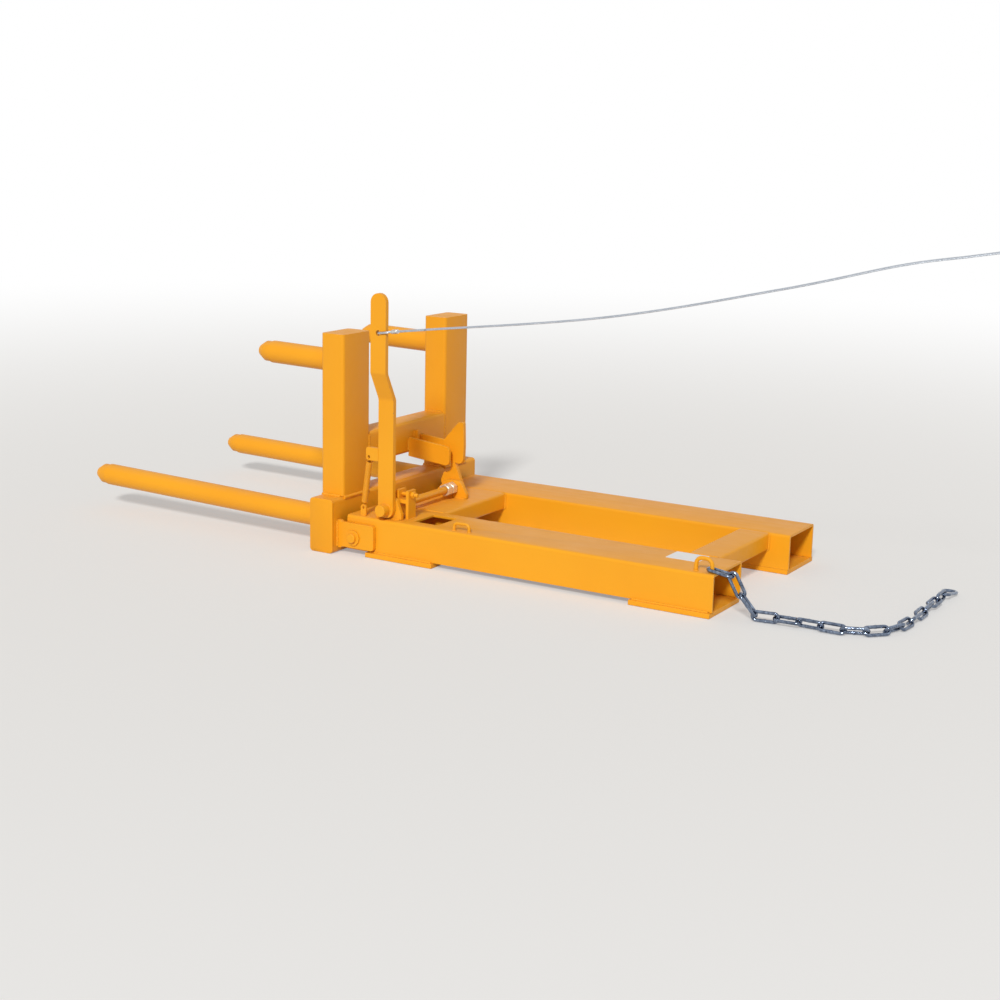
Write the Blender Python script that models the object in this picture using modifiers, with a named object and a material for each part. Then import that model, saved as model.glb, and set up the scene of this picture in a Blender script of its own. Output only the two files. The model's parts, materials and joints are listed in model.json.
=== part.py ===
"""Drum lifter: a frame for two truck forks with a drum holder that tilts down once its latch is let go.

Metres, +Z up. Sizes are set from a datum on the ground, on the middle plane, level with the back of the
drum: X runs rearward to the truck and Y across, with left at -Y. The root empty moves that datum so that
the model stands centred on the world origin.
"""

import math

import bmesh
import bpy
from mathutils import Matrix, Vector

# Fits
GAP = 0.0003
PIN_PLAY = 0.0003
BROKEN_EDGE = 0.001
WELD = 0.00001

# Fork pockets, each an inverted channel that stands on two straps
POCKET_PITCH = 0.4566
POCKET_WIDTH = 0.160
POCKET_HEIGHT = 0.089
POCKET_WALL = 0.006
POCKET_BEND = 0.007
POCKET_FRONT = 0.150
POCKET_LENGTH = 1.015
STRAP_THICK = 0.012
STRAP_OVERHANG = 0.010
FRONT_STRAP_SETBACK = 0.062
FRONT_STRAP_LENGTH = 0.200
REAR_STRAP_SETBACK = 0.002
REAR_STRAP_LENGTH = 0.206
WINDOW_SETBACK = 0.181
WINDOW_LENGTH = 0.070
WINDOW_WIDTH = 0.088

# Box beams between the pockets
BEAM_HEIGHT = 0.045
BEAM_WALL = 0.004
BEAM_CORNER = 0.007
FRONT_BEAM_SETBACK = 0.050
FRONT_BEAM_DEPTH = 0.145
REAR_BEAM_SETBACK = 0.055
REAR_BEAM_DEPTH = 0.082

# Hinge of the holder
HINGE_SETBACK = 0.027
HINGE_RISE = 0.0335
HINGE_PIN_RADIUS = 0.010
HINGE_HEAD_RADIUS = 0.012
HINGE_HEAD_LENGTH = 0.008
HINGE_HEAD_EDGE = 0.0015
HINGE_WASHER_RADIUS = 0.020
HINGE_WASHER_THICK = 0.004
HINGE_PIN_INSIDE = 0.012

# Ears that hang the holder on its hinge
EAR_THICK = 0.012
EAR_REACH = 0.050
EAR_TAIL = 0.0615
EAR_DROP = 0.0275
EAR_RISE = 0.0375
EAR_ROOT_LENGTH = 0.010
EAR_ROOT_FLARE = 0.004
EAR_CORNER = 0.008

# Cross tube of the holder
TUBE_DEPTH = 0.070
TUBE_HEIGHT = 0.140
TUBE_WALL = 0.005
TUBE_CORNER = 0.009
TUBE_LENGTH = 0.684
CAP_THICK = 0.006
CAP_EDGE = 0.0025

# Uprights and upper cross beam
UPRIGHT_WIDTH = 0.117
UPRIGHT_PITCH = 0.471
UPRIGHT_HEIGHT = 0.415
UPRIGHT_WALL = 0.005
UPRIGHT_CORNER = 0.009
UPPER_BEAM_RISE = 0.068
UPPER_BEAM_HEIGHT = 0.085

# Bars that carry the drum, a pair low down and a shorter pair high up
BAR_RADIUS = 0.029
BAR_WALL = 0.007
BAR_NOSE_RADIUS = 0.0265
BAR_TIP_RADIUS = 0.014
BAR_NOSE_LENGTH = 0.040
BAR_CONE_LENGTH = 0.020
BAR_LIFT = math.radians(1.36)
LOWER_BAR_PITCH = 0.565
LOWER_BAR_RISE = 0.078
LOWER_BAR_LENGTH = 0.777
UPPER_BAR_PITCH = 0.460
UPPER_BAR_RISE = 0.4777
UPPER_BAR_LENGTH = 0.2395

# Tongue: two plates behind the upper beam with the latch pin between them
TONGUE_THICK = 0.010
TONGUE_SPACE = 0.052
TONGUE_SIDE = 0.010
TONGUE_LENGTH = 0.1297
TONGUE_DEPTH = 0.051
TONGUE_SAG = 0.008
TONGUE_DROOP = 0.013
TONGUE_CORNER = 0.012
LATCH_PIN_REACH = 0.095
LATCH_PIN_SAG = 0.0
LATCH_PIN_RADIUS = 0.009
RIB_THICK = 0.008
RIB_DEPTH = 0.013
RIB_HEIGHT = 0.032
RIB_OFFSET = 0.020
RIB_SINK = 0.016

# Lever shaft and its two bearings on the frame
SHAFT_BEHIND_HINGE = 0.083
SHAFT_ABOVE_POCKET = 0.026
SHAFT_RADIUS = 0.010
BOSS_RADIUS = 0.015
BOSS_OUT = 0.026
BOSS_IN = 0.002
SHAFT_END = 0.003
GUSSET_THICK = 0.012
GUSSET_INSET = 0.0233
GUSSET_FRONT = 0.038
GUSSET_REAR = 0.039
GUSSET_SHOULDER = 0.015
GUSSET_HEIGHT = 0.054
GUSSET_CORNER = 0.012
FOOT_THICK = 0.012
FOOT_SIDE = 0.017
FOOT_FRONT = 0.054
FOOT_REAR = 0.042
FOOT_SHOULDER = 0.012
FOOT_HEIGHT = 0.047
FOOT_CORNER = 0.022
FOOT_SHOULDER_CORNER = 0.003
SIDE_PLAY = 0.001

# Release lever, a flat bar with a joggle
LEVER_WIDTH = 0.045
LEVER_THICK = 0.012
LEVER_TOP = 0.545
LEVER_JOGGLE_FROM = 0.279
LEVER_JOGGLE_TO = 0.348
LEVER_JOGGLE = 0.036
ROPE_HOLE_RISE = 0.448
ROPE_HOLE_RADIUS = 0.007
SHAFT_NUT_FLATS = 0.030
SHAFT_NUT_HEIGHT = 0.020
NUT_SPACE = 0.002

# Latch hook, a plate on the shaft that closes over the latch pin
HOOK_THICK = 0.012
HOOK_HEEL = 0.177
HOOK_BACK_LEAN = 0.0235
HOOK_FRONT = 0.040
HOOK_THROAT_TOP = 0.0355
HOOK_THROAT_BOTTOM = 0.047
HOOK_HUB_RADIUS = 0.0235
HOOK_RELIEF = 0.002
HOOK_NOSE_RISE = 0.123
HOOK_BACK_STEP = 0.002
HOOK_BACK_LOW = 0.048
HOOK_BACK_LOW_BEND = 0.030
HOOK_BACK_HIGH = 0.113
HOOK_BACK_HIGH_BEND = 0.050
HOOK_HEEL_CORNER = 0.005
HOOK_HEEL_REACH = 0.005
HOOK_TIP_CORNER = 0.004
HOOK_JAW_REACH = 0.0155
HOOK_JAW_CORNER = 0.010
HOOK_SPUR_REACH = 0.030
HOOK_SPUR_END = 0.0375
HOOK_SPUR_RISE = 0.0025
HOOK_SPUR_CORNER = 0.003
HOOK_WAIST_REACH = 0.050
HOOK_WAIST_RISE = 0.007
HOOK_WAIST_BEND = 0.016
HOOK_HUB_START = math.radians(225)
HOOK_NOSE_ANGLE = math.radians(23)
HOOK_THROAT_ANGLE = math.radians(9.6)

# Tension spring that holds the hook on its pin
SPRING_PLATE_REACH = 0.0375
SPRING_PLATE_BOTTOM = 0.120
SPRING_PLATE_HEIGHT = 0.033
SPRING_PLATE_CORNER = 0.006
SPRING_EYE_RADIUS = 0.0035
SPRING_EYE_INSET = 0.0085
SPRING_RADIUS = 0.008
SPRING_COIL_LENGTH = 0.106
SPRING_COIL_EDGE = 0.002
SPRING_WIRE_RADIUS = 0.00125
ANCHOR_THICK = 0.006
ANCHOR_HALF_WIDTH = 0.008
ANCHOR_EYE_RISE = 0.021
ANCHOR_AHEAD = 0.070

# Stop for the released lever: two posts with a bar between them and a bolt
POST_THICK = 0.008
POST_SPACE = 0.021
POST_WIDTH = 0.033
POST_HEIGHT = 0.074
POST_BEHIND_SHAFT = 0.014
POST_INSET = 0.003
STOP_BAR_RISE = 0.041
STOP_BAR_HEIGHT = 0.010
STOP_BOLT_RISE = 0.062
STOP_BOLT_RADIUS = 0.005
STOP_BOLT_TAIL = 0.017
STOP_NUT_FLATS = 0.016
STOP_NUT_HEIGHT = 0.008

# Staples on the left pocket, one guides the rope and one holds the chain
GUIDE_ROD_RADIUS = 0.004
GUIDE_SPAN = 0.043
GUIDE_HEIGHT = 0.023
GUIDE_BEND = 0.011
GUIDE_SETBACK = 0.3335
STAPLE_ROD_RADIUS = 0.005
STAPLE_SPAN = 0.040
STAPLE_HEIGHT = 0.036
STAPLE_FROM_REAR = 0.033
STAPLE_INSET = 0.020

# Pull rope
ROPE_RADIUS = 0.00275
ROPE_LOOP_RADIUS = 0.0094
ROPE_TAIL = 0.090
ROPE_STRAIGHT = 0.027
ROPE_TAIL_SPREAD = 1.3
ROPE_STEP = 0.030
CLIP_LENGTH = 0.018
CLIP_AT = 0.046
CLIP_WIDTH = 0.017
CLIP_HEIGHT = 0.015
RING_RADIUS = 0.019
RING_ROD_RADIUS = 0.003
FERRULE_RADIUS = 0.005
FERRULE_LENGTH = 0.028

# Safety chain
LINK_ROD_RADIUS = 0.004
LINK_LENGTH = 0.068
LINK_WIDTH = 0.028
LINK_PLAY = 0.0004
LINK_PLAY_IN_BEND = 0.009
LINK_HANG = 0.3
LINKS = 16
CHAIN_STEP = 0.004
TWIST_FROM = 3
TWIST_LINKS = 3
TWIST = math.radians(45)
FIRST_PITCH = math.radians(-10)
SECOND_PITCH = math.radians(-62)
FIRST_HEADING = math.radians(4)
HANG_HEADING = math.radians(9)
HOOK_ROD_RADIUS = 0.004
HOOK_EYE_RADIUS = 0.0115
HOOK_EYE_SHIFT = 0.0018
HOOK_STEP = 0.008

# Looks
ORANGE = (0.83, 0.31, 0.03, 1.0)
ZINC = (0.62, 0.62, 0.60, 1.0)
DARK_STEEL = (0.12, 0.12, 0.12, 1.0)

# Places that follow from the sizes
POCKET_TOP = STRAP_THICK + POCKET_HEIGHT
POCKET_REAR = POCKET_FRONT + POCKET_LENGTH
POCKET_OUTER = (POCKET_PITCH + POCKET_WIDTH) / 2
POCKET_INNER = (POCKET_PITCH - POCKET_WIDTH) / 2
HINGE_X = POCKET_FRONT + HINGE_SETBACK
HINGE_Z = STRAP_THICK + HINGE_RISE
TUBE_REAR = HINGE_X - EAR_REACH
TUBE_FRONT = TUBE_REAR - TUBE_DEPTH
SHAFT_X = HINGE_X + SHAFT_BEHIND_HINGE
SHAFT_Z = POCKET_TOP + SHAFT_ABOVE_POCKET
GUSSET_OUT = -(POCKET_OUTER - GUSSET_INSET)
GUSSET_IN = GUSSET_OUT + GUSSET_THICK
LEVER_IN = GUSSET_OUT - SIDE_PLAY
LEVER_OUT = LEVER_IN - LEVER_THICK
LEVER_TOP_IN = LEVER_IN - LEVER_JOGGLE
LEVER_TOP_OUT = LEVER_TOP_IN - LEVER_THICK
FOOT_LEFT = FOOT_SIDE
FOOT_RIGHT = FOOT_LEFT + FOOT_THICK
HOOK_LEFT = FOOT_RIGHT + SIDE_PLAY
HOOK_RIGHT = HOOK_LEFT + HOOK_THICK
TONGUE_RIGHT = TONGUE_SIDE + TONGUE_SPACE
UPPER_BEAM_BOTTOM = TUBE_HEIGHT + UPPER_BEAM_RISE
PIN_X = TUBE_REAR + LATCH_PIN_REACH
PIN_Z = UPPER_BEAM_BOTTOM - LATCH_PIN_SAG
ROPE_X = SHAFT_X
ROPE_Y = (LEVER_TOP_IN + LEVER_TOP_OUT) / 2
ROPE_Z = SHAFT_Z + ROPE_HOLE_RISE
SPRING_Y = (LEVER_IN + LEVER_OUT) / 2
ANCHOR_X = SHAFT_X - ANCHOR_AHEAD
ANCHOR_EYE_Z = POCKET_TOP + ANCHOR_EYE_RISE
GUIDE_X = POCKET_FRONT + GUIDE_SETBACK
STAPLE_X = POCKET_REAR - STAPLE_FROM_REAR
STAPLE_Y = -(POCKET_OUTER - STAPLE_INSET)
BAR_ROOT_X = TUBE_FRONT - GAP - BAR_RADIUS * math.sin(BAR_LIFT)
BAR_TIP_X = BAR_ROOT_X - LOWER_BAR_LENGTH * math.cos(BAR_LIFT) - BAR_TIP_RADIUS * math.sin(BAR_LIFT)
MIDDLE_X = (BAR_TIP_X + POCKET_REAR) / 2

# Route of the rope behind its clip, and the chain's way along the ground from its staple, chosen by eye
ROPE_ROUTE = (
    (0.868, ROPE_Y, 0.660),
    (1.295, ROPE_Y, 0.754),
    (1.551, ROPE_Y, 0.821),
    (1.693, ROPE_Y, 0.848),
    (1.790, ROPE_Y, 0.866),
)
CHAIN_ROUTE = (
    (0.118, 0.0133),
    (0.173, 0.0223),
    (0.238, 0.0253),
    (0.305, 0.0283),
    (0.352, 0.0383),
    (0.390, 0.0633),
    (0.416, 0.1023),
    (0.426, 0.1483),
    (0.428, 0.2383),
    (0.426, 0.3283),
    (0.425, 0.4483),
    (0.420, 0.6083),
)
CHAIN_HOOK_SHAPE = (
    (0.000, -HOOK_EYE_RADIUS),
    (0.018, -HOOK_EYE_RADIUS),
    (0.034, -0.0135),
    (0.052, -0.014),
    (0.067, -0.005),
    (0.069, 0.010),
    (0.057, 0.020),
    (0.043, 0.016),
)

SIDES = (("left", -1), ("right", 1))
BODY_AT = {
    "frame": Vector((0, 0, 0)),
    "holder": Vector((HINGE_X, 0, HINGE_Z)),
    "lever": Vector((SHAFT_X, 0, SHAFT_Z)),
    "rope": Vector((ROPE_X, ROPE_Y, ROPE_Z)),
}
BODIES = {}
MATERIALS = {}


def clear_scene():
    for old in list(bpy.data.objects):
        bpy.data.objects.remove(old)


def make_collection(name):
    collection = bpy.data.collections.new(name)
    bpy.context.scene.collection.children.link(collection)
    return collection


def make_bodies():
    """An empty for each body that moves by itself, on its joint's axis."""
    parents = {"frame": None, "holder": "frame", "lever": "frame", "rope": "lever"}
    for name, parent in parents.items():
        body = bpy.data.objects.new(name + "_axis", None)
        body.empty_display_size = 0.05
        if parent is None:
            body.location = (-MIDDLE_X, 0, 0)
        else:
            body.parent = BODIES[parent]
            body.location = BODY_AT[name] - BODY_AT[parent]
        PARTS.objects.link(body)
        BODIES[name] = body


def make_material(name, color, metallic, roughness):
    material = bpy.data.materials.new(name)
    material.use_nodes = True
    material.diffuse_color = color
    shader = material.node_tree.nodes["Principled BSDF"]
    shader.inputs["Base Color"].default_value = color
    shader.inputs["Metallic"].default_value = metallic
    shader.inputs["Roughness"].default_value = roughness
    MATERIALS[name] = material


def make_materials():
    make_material("orange_paint", ORANGE, 0.0, 0.38)
    make_material("zinc", ZINC, 1.0, 0.3)
    make_material("dark_steel", DARK_STEEL, 0.9, 0.45)


def place(obj, body, at, material="orange_paint", turn=(0, 0, 0)):
    """Puts an object in the model, at a place given from the datum."""
    PARTS.objects.link(obj)
    obj.parent = BODIES[body]
    obj.location = Vector(at) - BODY_AT[body]
    obj.rotation_euler = turn
    obj.data.materials.append(MATERIALS[material])
    return obj


def as_mesh(curve_object):
    """The same object as a mesh with its caps welded, so that it can be cut."""
    bpy.context.view_layer.update()
    evaluated = curve_object.evaluated_get(bpy.context.evaluated_depsgraph_get())
    mesh = bpy.data.meshes.new_from_object(evaluated)
    work = bmesh.new()
    work.from_mesh(mesh)
    bmesh.ops.remove_doubles(work, verts=work.verts, dist=WELD)
    bmesh.ops.recalc_face_normals(work, faces=work.faces)
    work.to_mesh(mesh)
    work.free()
    name = curve_object.name
    solid = bpy.data.objects.new(name + "_mesh", mesh)
    PARTS.objects.link(solid)
    solid.parent = curve_object.parent
    bpy.context.view_layer.update()
    solid.matrix_world = curve_object.matrix_world
    bpy.data.objects.remove(curve_object)
    solid.name = name
    return solid


def to_cutters(obj):
    PARTS.objects.unlink(obj)
    CUTTERS.objects.link(obj)
    obj.hide_render = True
    obj.display_type = "WIRE"
    return obj


def combine(obj, other, operation):
    modifier = obj.modifiers.new(operation.lower(), "BOOLEAN")
    modifier.operation = operation
    modifier.solver = "EXACT"
    modifier.object = to_cutters(other)


def smooth(obj, angle=35):
    obj.data.shade_smooth()
    obj.data.set_sharp_from_angle(angle=math.radians(angle))


def rounded(corners):
    """The outline through (u, v, radius) corners, each rounded by its radius as far as its sides allow."""
    points = []
    for number, (u, v, radius) in enumerate(corners):
        corner = Vector((u, v))
        if radius == 0:
            points.append(corner)
            continue
        back = Vector(corners[number - 1][:2]) - corner
        ahead = Vector(corners[(number + 1) % len(corners)][:2]) - corner
        half = back.angle(ahead) / 2
        reach = min(radius / math.tan(half), 0.49 * back.length, 0.49 * ahead.length)
        bisector = (back.normalized() + ahead.normalized()).normalized()
        centre = corner + bisector * (reach / math.cos(half))
        start = corner + back.normalized() * reach - centre
        end = corner + ahead.normalized() * reach - centre
        turn = math.atan2(start.cross(end), start.dot(end))
        steps = max(2, round(abs(turn) / math.radians(20)))
        points += [centre + Matrix.Rotation(turn * k / steps, 2) @ start for k in range(steps + 1)]
    return points


def arc(centre, radius, start, end, steps):
    """Points on an arc between two angles, both ends included."""
    angles = [start + (end - start) * k / steps for k in range(steps + 1)]
    return [Vector((centre[0] + radius * math.cos(a), centre[1] + radius * math.sin(a))) for a in angles]


def circle(u, v, radius, sides=20):
    return arc((u, v), radius, 0, 2 * math.pi * (1 - 1 / sides), sides - 1)


def rectangle(u_from, u_to, v_from, v_to, radius=0.0):
    return rounded([(u_from, v_from, radius), (u_to, v_from, radius), (u_to, v_to, radius), (u_from, v_to, radius)])


def extrusion(name, outlines, axis, low, high, body, material="orange_paint"):
    """A flat outline, with its holes, drawn out from low to high along an axis.

    Outlines are in (X, Z) for axis Y, in (Y, Z) for axis X and in (X, Y) for axis Z, from the datum.
    """
    quarter = math.pi / 2
    turn = {"X": (quarter, 0, quarter), "Y": (quarter, 0, 0), "Z": (0, 0, 0)}[axis]
    pick = {"X": (1, 2), "Y": (0, 2), "Z": (0, 1)}[axis]
    start = Vector([BODY_AT[body][k] for k in pick])
    curve = bpy.data.curves.new(name, "CURVE")
    curve.dimensions = "2D"
    curve.fill_mode = "BOTH"
    curve.extrude = (high - low) / 2
    for outline in outlines:
        spline = curve.splines.new("POLY")
        spline.points.add(len(outline) - 1)
        for point, place_2d in zip(spline.points, outline):
            point.co = (*(place_2d - start), 0, 1)
        spline.use_cyclic_u = True
    at = BODY_AT[body].copy()
    at["XYZ".index(axis)] = (low + high) / 2
    return place(bpy.data.objects.new(name, curve), body, at, material, turn)


def block(name, size, at, body, material="orange_paint", turn=(0, 0, 0)):
    """A block of a given size about its middle."""
    work = bmesh.new()
    bmesh.ops.create_cube(work, size=1, matrix=Matrix.Diagonal((*size, 1)))
    mesh = bpy.data.meshes.new(name)
    work.to_mesh(mesh)
    work.free()
    return place(bpy.data.objects.new(name, mesh), body, at, material, turn)


def box(name, low, high, body):
    """A block between two corners given from the datum."""
    low, high = Vector(low), Vector(high)
    return block(name, high - low, (low + high) / 2, body)


def bevel_edges(obj, width):
    bevel = obj.modifiers.new("edge", "BEVEL")
    bevel.width = width
    bevel.segments = 2
    bevel.limit_method = "ANGLE"
    bevel.angle_limit = math.radians(50)


def round_cutter(name, radius, length, at, body, turn=(math.pi / 2, 0, 0)):
    """A cylinder for a hole, along Y unless it is turned."""
    work = bmesh.new()
    bmesh.ops.create_cone(work, cap_ends=True, segments=24, radius1=radius, radius2=radius, depth=length)
    mesh = bpy.data.meshes.new(name)
    work.to_mesh(mesh)
    work.free()
    return place(bpy.data.objects.new(name, mesh), body, at, turn=turn)


def turned(name, profile, at, turn, body, material="orange_paint", steps=24):
    """A turned piece. Its (radius, height) profile runs down the outer side."""
    mesh = bpy.data.meshes.new(name)
    count = len(profile)
    closed = profile[0][0] > 0
    edges = [(k, k + 1) for k in range(count - 1)] + ([(count - 1, 0)] if closed else [])
    mesh.from_pydata([(radius, 0, height) for radius, height in profile], edges, [])
    obj = place(bpy.data.objects.new(name, mesh), body, at, material, turn)
    screw = obj.modifiers.new("turn", "SCREW")
    screw.steps = screw.render_steps = steps
    screw.use_smooth_shade = True
    screw.use_merge_vertices = True
    screw.merge_threshold = WELD
    return obj


def rod(name, points, radius, body, material, closed=False, resolution=2, at=None):
    """A round bar along points given from the datum."""
    curve = bpy.data.curves.new(name, "CURVE")
    curve.dimensions = "3D"
    curve.bevel_depth = radius
    curve.bevel_resolution = resolution
    curve.use_fill_caps = True
    at = Vector(points[0]) if at is None else Vector(at)
    spline = curve.splines.new("POLY")
    spline.points.add(len(points) - 1)
    for point, where in zip(spline.points, points):
        point.co = (*(Vector(where) - at), 1)
    spline.use_cyclic_u = closed
    return place(bpy.data.objects.new(name, curve), body, at, material)


def smooth_route(points, step):
    """Evenly spaced points on a smooth curve through the given ones."""
    ends = [2 * points[0] - points[1]] + points + [2 * points[-1] - points[-2]]
    dense = []
    for p0, p1, p2, p3 in zip(ends, ends[1:], ends[2:], ends[3:]):
        for k in range(40):
            t = k / 40
            bend = (2 * p0 - 5 * p1 + 4 * p2 - p3) * t + (3 * p1 - p0 - 3 * p2 + p3) * t * t
            dense.append(p1 + ((p2 - p0) + bend) * t / 2)
    dense.append(points[-1])
    length = sum((b - a).length for a, b in zip(dense, dense[1:]))
    spacing = length / max(1, round(length / step))
    route = [dense[0]]
    for a, b in zip(dense, dense[1:]):
        while (b - route[-1]).length >= spacing and (a - route[-1]).length < spacing:
            route.append(route[-1] + (b - route[-1]).normalized() * spacing)
    if (route[-1] - dense[-1]).length > spacing / 2:
        route.append(dense[-1])
    return route


# Frame that slides over the forks
def fork_pocket(side, sign):
    outer = rounded([
        (sign * POCKET_OUTER, STRAP_THICK + GAP, 0),
        (sign * POCKET_OUTER, POCKET_TOP, POCKET_BEND),
        (sign * POCKET_INNER, POCKET_TOP, POCKET_BEND),
        (sign * POCKET_INNER, STRAP_THICK + GAP, 0),
        (sign * (POCKET_INNER + POCKET_WALL), STRAP_THICK + GAP, 0),
        (sign * (POCKET_INNER + POCKET_WALL), POCKET_TOP - POCKET_WALL, POCKET_BEND - POCKET_WALL),
        (sign * (POCKET_OUTER - POCKET_WALL), POCKET_TOP - POCKET_WALL, POCKET_BEND - POCKET_WALL),
        (sign * (POCKET_OUTER - POCKET_WALL), STRAP_THICK + GAP, 0),
    ])
    pocket = as_mesh(extrusion("fork_pocket_" + side, [outer], "X", POCKET_FRONT, POCKET_REAR, "frame"))
    hole_at = (HINGE_X, sign * (POCKET_OUTER - POCKET_WALL / 2), HINGE_Z)
    hole = round_cutter("hinge_hole_" + side, HINGE_PIN_RADIUS + PIN_PLAY, 3 * POCKET_WALL, hole_at, "frame")
    combine(pocket, hole, "DIFFERENCE")
    if side == "left":
        window_x = POCKET_FRONT + WINDOW_SETBACK
        low = (window_x, -POCKET_PITCH / 2 - WINDOW_WIDTH / 2, POCKET_TOP - 2 * POCKET_WALL)
        high = (window_x + WINDOW_LENGTH, -POCKET_PITCH / 2 + WINDOW_WIDTH / 2, POCKET_TOP + POCKET_WALL)
        combine(pocket, box("pocket_window", low, high, "frame"), "DIFFERENCE")
    smooth(pocket)


def strap(name, sign, x_from, length):
    outer = POCKET_OUTER + STRAP_OVERHANG
    y_from, y_to = sorted((sign * POCKET_INNER, sign * outer))
    box(name, (x_from, y_from, 0), (x_from + length, y_to, STRAP_THICK), "frame")


def cross_beam(name, x_from, depth):
    low, high = POCKET_TOP - BEAM_HEIGHT, POCKET_TOP
    outer = rectangle(x_from, x_from + depth, low, high, BEAM_CORNER)
    inner = rectangle(x_from + BEAM_WALL, x_from + depth - BEAM_WALL, low + BEAM_WALL, high - BEAM_WALL,
                      BEAM_CORNER - BEAM_WALL)
    half = POCKET_INNER - GAP
    extrusion(name, [outer, inner], "Y", -half, half, "frame")


def hinge_pin(side, sign):
    """The pin stands in the ear and in the pocket's side wall, with a head outside the ear."""
    ear_out = POCKET_OUTER + GAP + EAR_THICK + GAP
    washer = HINGE_WASHER_THICK
    head = washer + HINGE_HEAD_LENGTH
    inside = POCKET_OUTER - HINGE_PIN_INSIDE - ear_out
    edge = HINGE_HEAD_EDGE
    profile = [
        (0, head),
        (HINGE_HEAD_RADIUS - edge, head),
        (HINGE_HEAD_RADIUS, head - edge),
        (HINGE_HEAD_RADIUS, washer),
        (HINGE_WASHER_RADIUS, washer),
        (HINGE_WASHER_RADIUS, 0),
        (HINGE_PIN_RADIUS, 0),
        (HINGE_PIN_RADIUS, inside),
        (0, inside),
    ]
    turn = (-sign * math.pi / 2, 0, 0)
    turned("hinge_pin_" + side, profile, (HINGE_X, sign * ear_out, HINGE_Z), turn, "frame")


def shaft_gusset():
    base = POCKET_TOP + GAP
    half = LEVER_WIDTH / 2
    outline = rounded([
        (SHAFT_X - GUSSET_FRONT, base, 0),
        (SHAFT_X + GUSSET_REAR, base, 0),
        (SHAFT_X + GUSSET_REAR, POCKET_TOP + GUSSET_SHOULDER, 0),
        (SHAFT_X + half, POCKET_TOP + GUSSET_HEIGHT, GUSSET_CORNER),
        (SHAFT_X - half, POCKET_TOP + GUSSET_HEIGHT, GUSSET_CORNER),
        (SHAFT_X - GUSSET_FRONT, POCKET_TOP + GUSSET_SHOULDER, 0),
    ])
    hole = circle(SHAFT_X, SHAFT_Z, BOSS_RADIUS + PIN_PLAY)
    extrusion("shaft_gusset", [outline, hole], "Y", GUSSET_OUT, GUSSET_IN, "frame")


def shaft_foot_plate():
    base = POCKET_TOP + GAP
    outline = rounded([
        (SHAFT_X - FOOT_FRONT, base, 0),
        (SHAFT_X + FOOT_REAR, base, 0),
        (SHAFT_X + FOOT_REAR, POCKET_TOP + FOOT_SHOULDER, FOOT_SHOULDER_CORNER),
        (SHAFT_X + FOOT_CORNER, POCKET_TOP + FOOT_HEIGHT, FOOT_CORNER),
        (SHAFT_X - FOOT_CORNER, POCKET_TOP + FOOT_HEIGHT, FOOT_CORNER),
        (SHAFT_X - FOOT_FRONT, POCKET_TOP + FOOT_SHOULDER, FOOT_SHOULDER_CORNER),
    ])
    hole = circle(SHAFT_X, SHAFT_Z, SHAFT_RADIUS + PIN_PLAY)
    extrusion("shaft_foot_plate", [outline, hole], "Y", FOOT_LEFT, FOOT_RIGHT, "frame")


def lever_stop():
    """Two posts joined by a bar, with a bolt through both."""
    front = SHAFT_X + POST_BEHIND_SHAFT
    rear = front + POST_THICK + POST_SPACE
    base, top = POCKET_TOP + GAP, POCKET_TOP + POST_HEIGHT
    bar = POCKET_TOP + STOP_BAR_RISE
    corners = [
        (front, base), (front + POST_THICK, base), (front + POST_THICK, bar), (rear, bar), (rear, base),
        (rear + POST_THICK, base), (rear + POST_THICK, top), (rear, top), (rear, bar + STOP_BAR_HEIGHT),
        (front + POST_THICK, bar + STOP_BAR_HEIGHT), (front + POST_THICK, top), (front, top),
    ]
    outline = [Vector(corner) for corner in corners]
    y_from = GUSSET_IN + POST_INSET
    y_to = y_from + POST_WIDTH
    bracket = as_mesh(extrusion("lever_stop_bracket", [outline], "Y", y_from, y_to, "frame"))
    along_x = (0, math.pi / 2, 0)
    reach = rear + POST_THICK - front
    middle = ((front + rear + POST_THICK) / 2, (y_from + y_to) / 2, POCKET_TOP + STOP_BOLT_RISE)
    hole = round_cutter("stop_bolt_hole", STOP_BOLT_RADIUS + PIN_PLAY, 2 * reach, middle, "frame", along_x)
    combine(bracket, hole, "DIFFERENCE")
    stop_bolt(front - GAP, rear + POST_THICK + GAP, middle, along_x)


def hexagon(name, flats, height, at, turn, body, material):
    work = bmesh.new()
    radius = flats / math.sqrt(3)
    bmesh.ops.create_cone(work, cap_ends=True, segments=6, radius1=radius, radius2=radius, depth=height)
    mesh = bpy.data.meshes.new(name)
    work.to_mesh(mesh)
    work.free()
    return place(bpy.data.objects.new(name, mesh), body, at, material, turn)


def stop_bolt(front, rear, middle, turn):
    shank_from, shank_to = front - STOP_NUT_HEIGHT / 2, rear + STOP_BOLT_TAIL
    edge = BROKEN_EDGE
    profile = [
        (0, shank_to), (STOP_BOLT_RADIUS - edge, shank_to), (STOP_BOLT_RADIUS, shank_to - edge),
        (STOP_BOLT_RADIUS, shank_from), (0, shank_from),
    ]
    bolt = turned("lever_stop_bolt", profile, (0, *middle[1:]), turn, "frame", steps=16)
    for name, x in (("bolt_head", front - STOP_NUT_HEIGHT / 2), ("bolt_nut", rear + STOP_NUT_HEIGHT / 2)):
        piece = hexagon(name, STOP_NUT_FLATS, STOP_NUT_HEIGHT, (x, *middle[1:]), turn, "frame", "orange_paint")
        combine(bolt, piece, "UNION")


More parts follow.
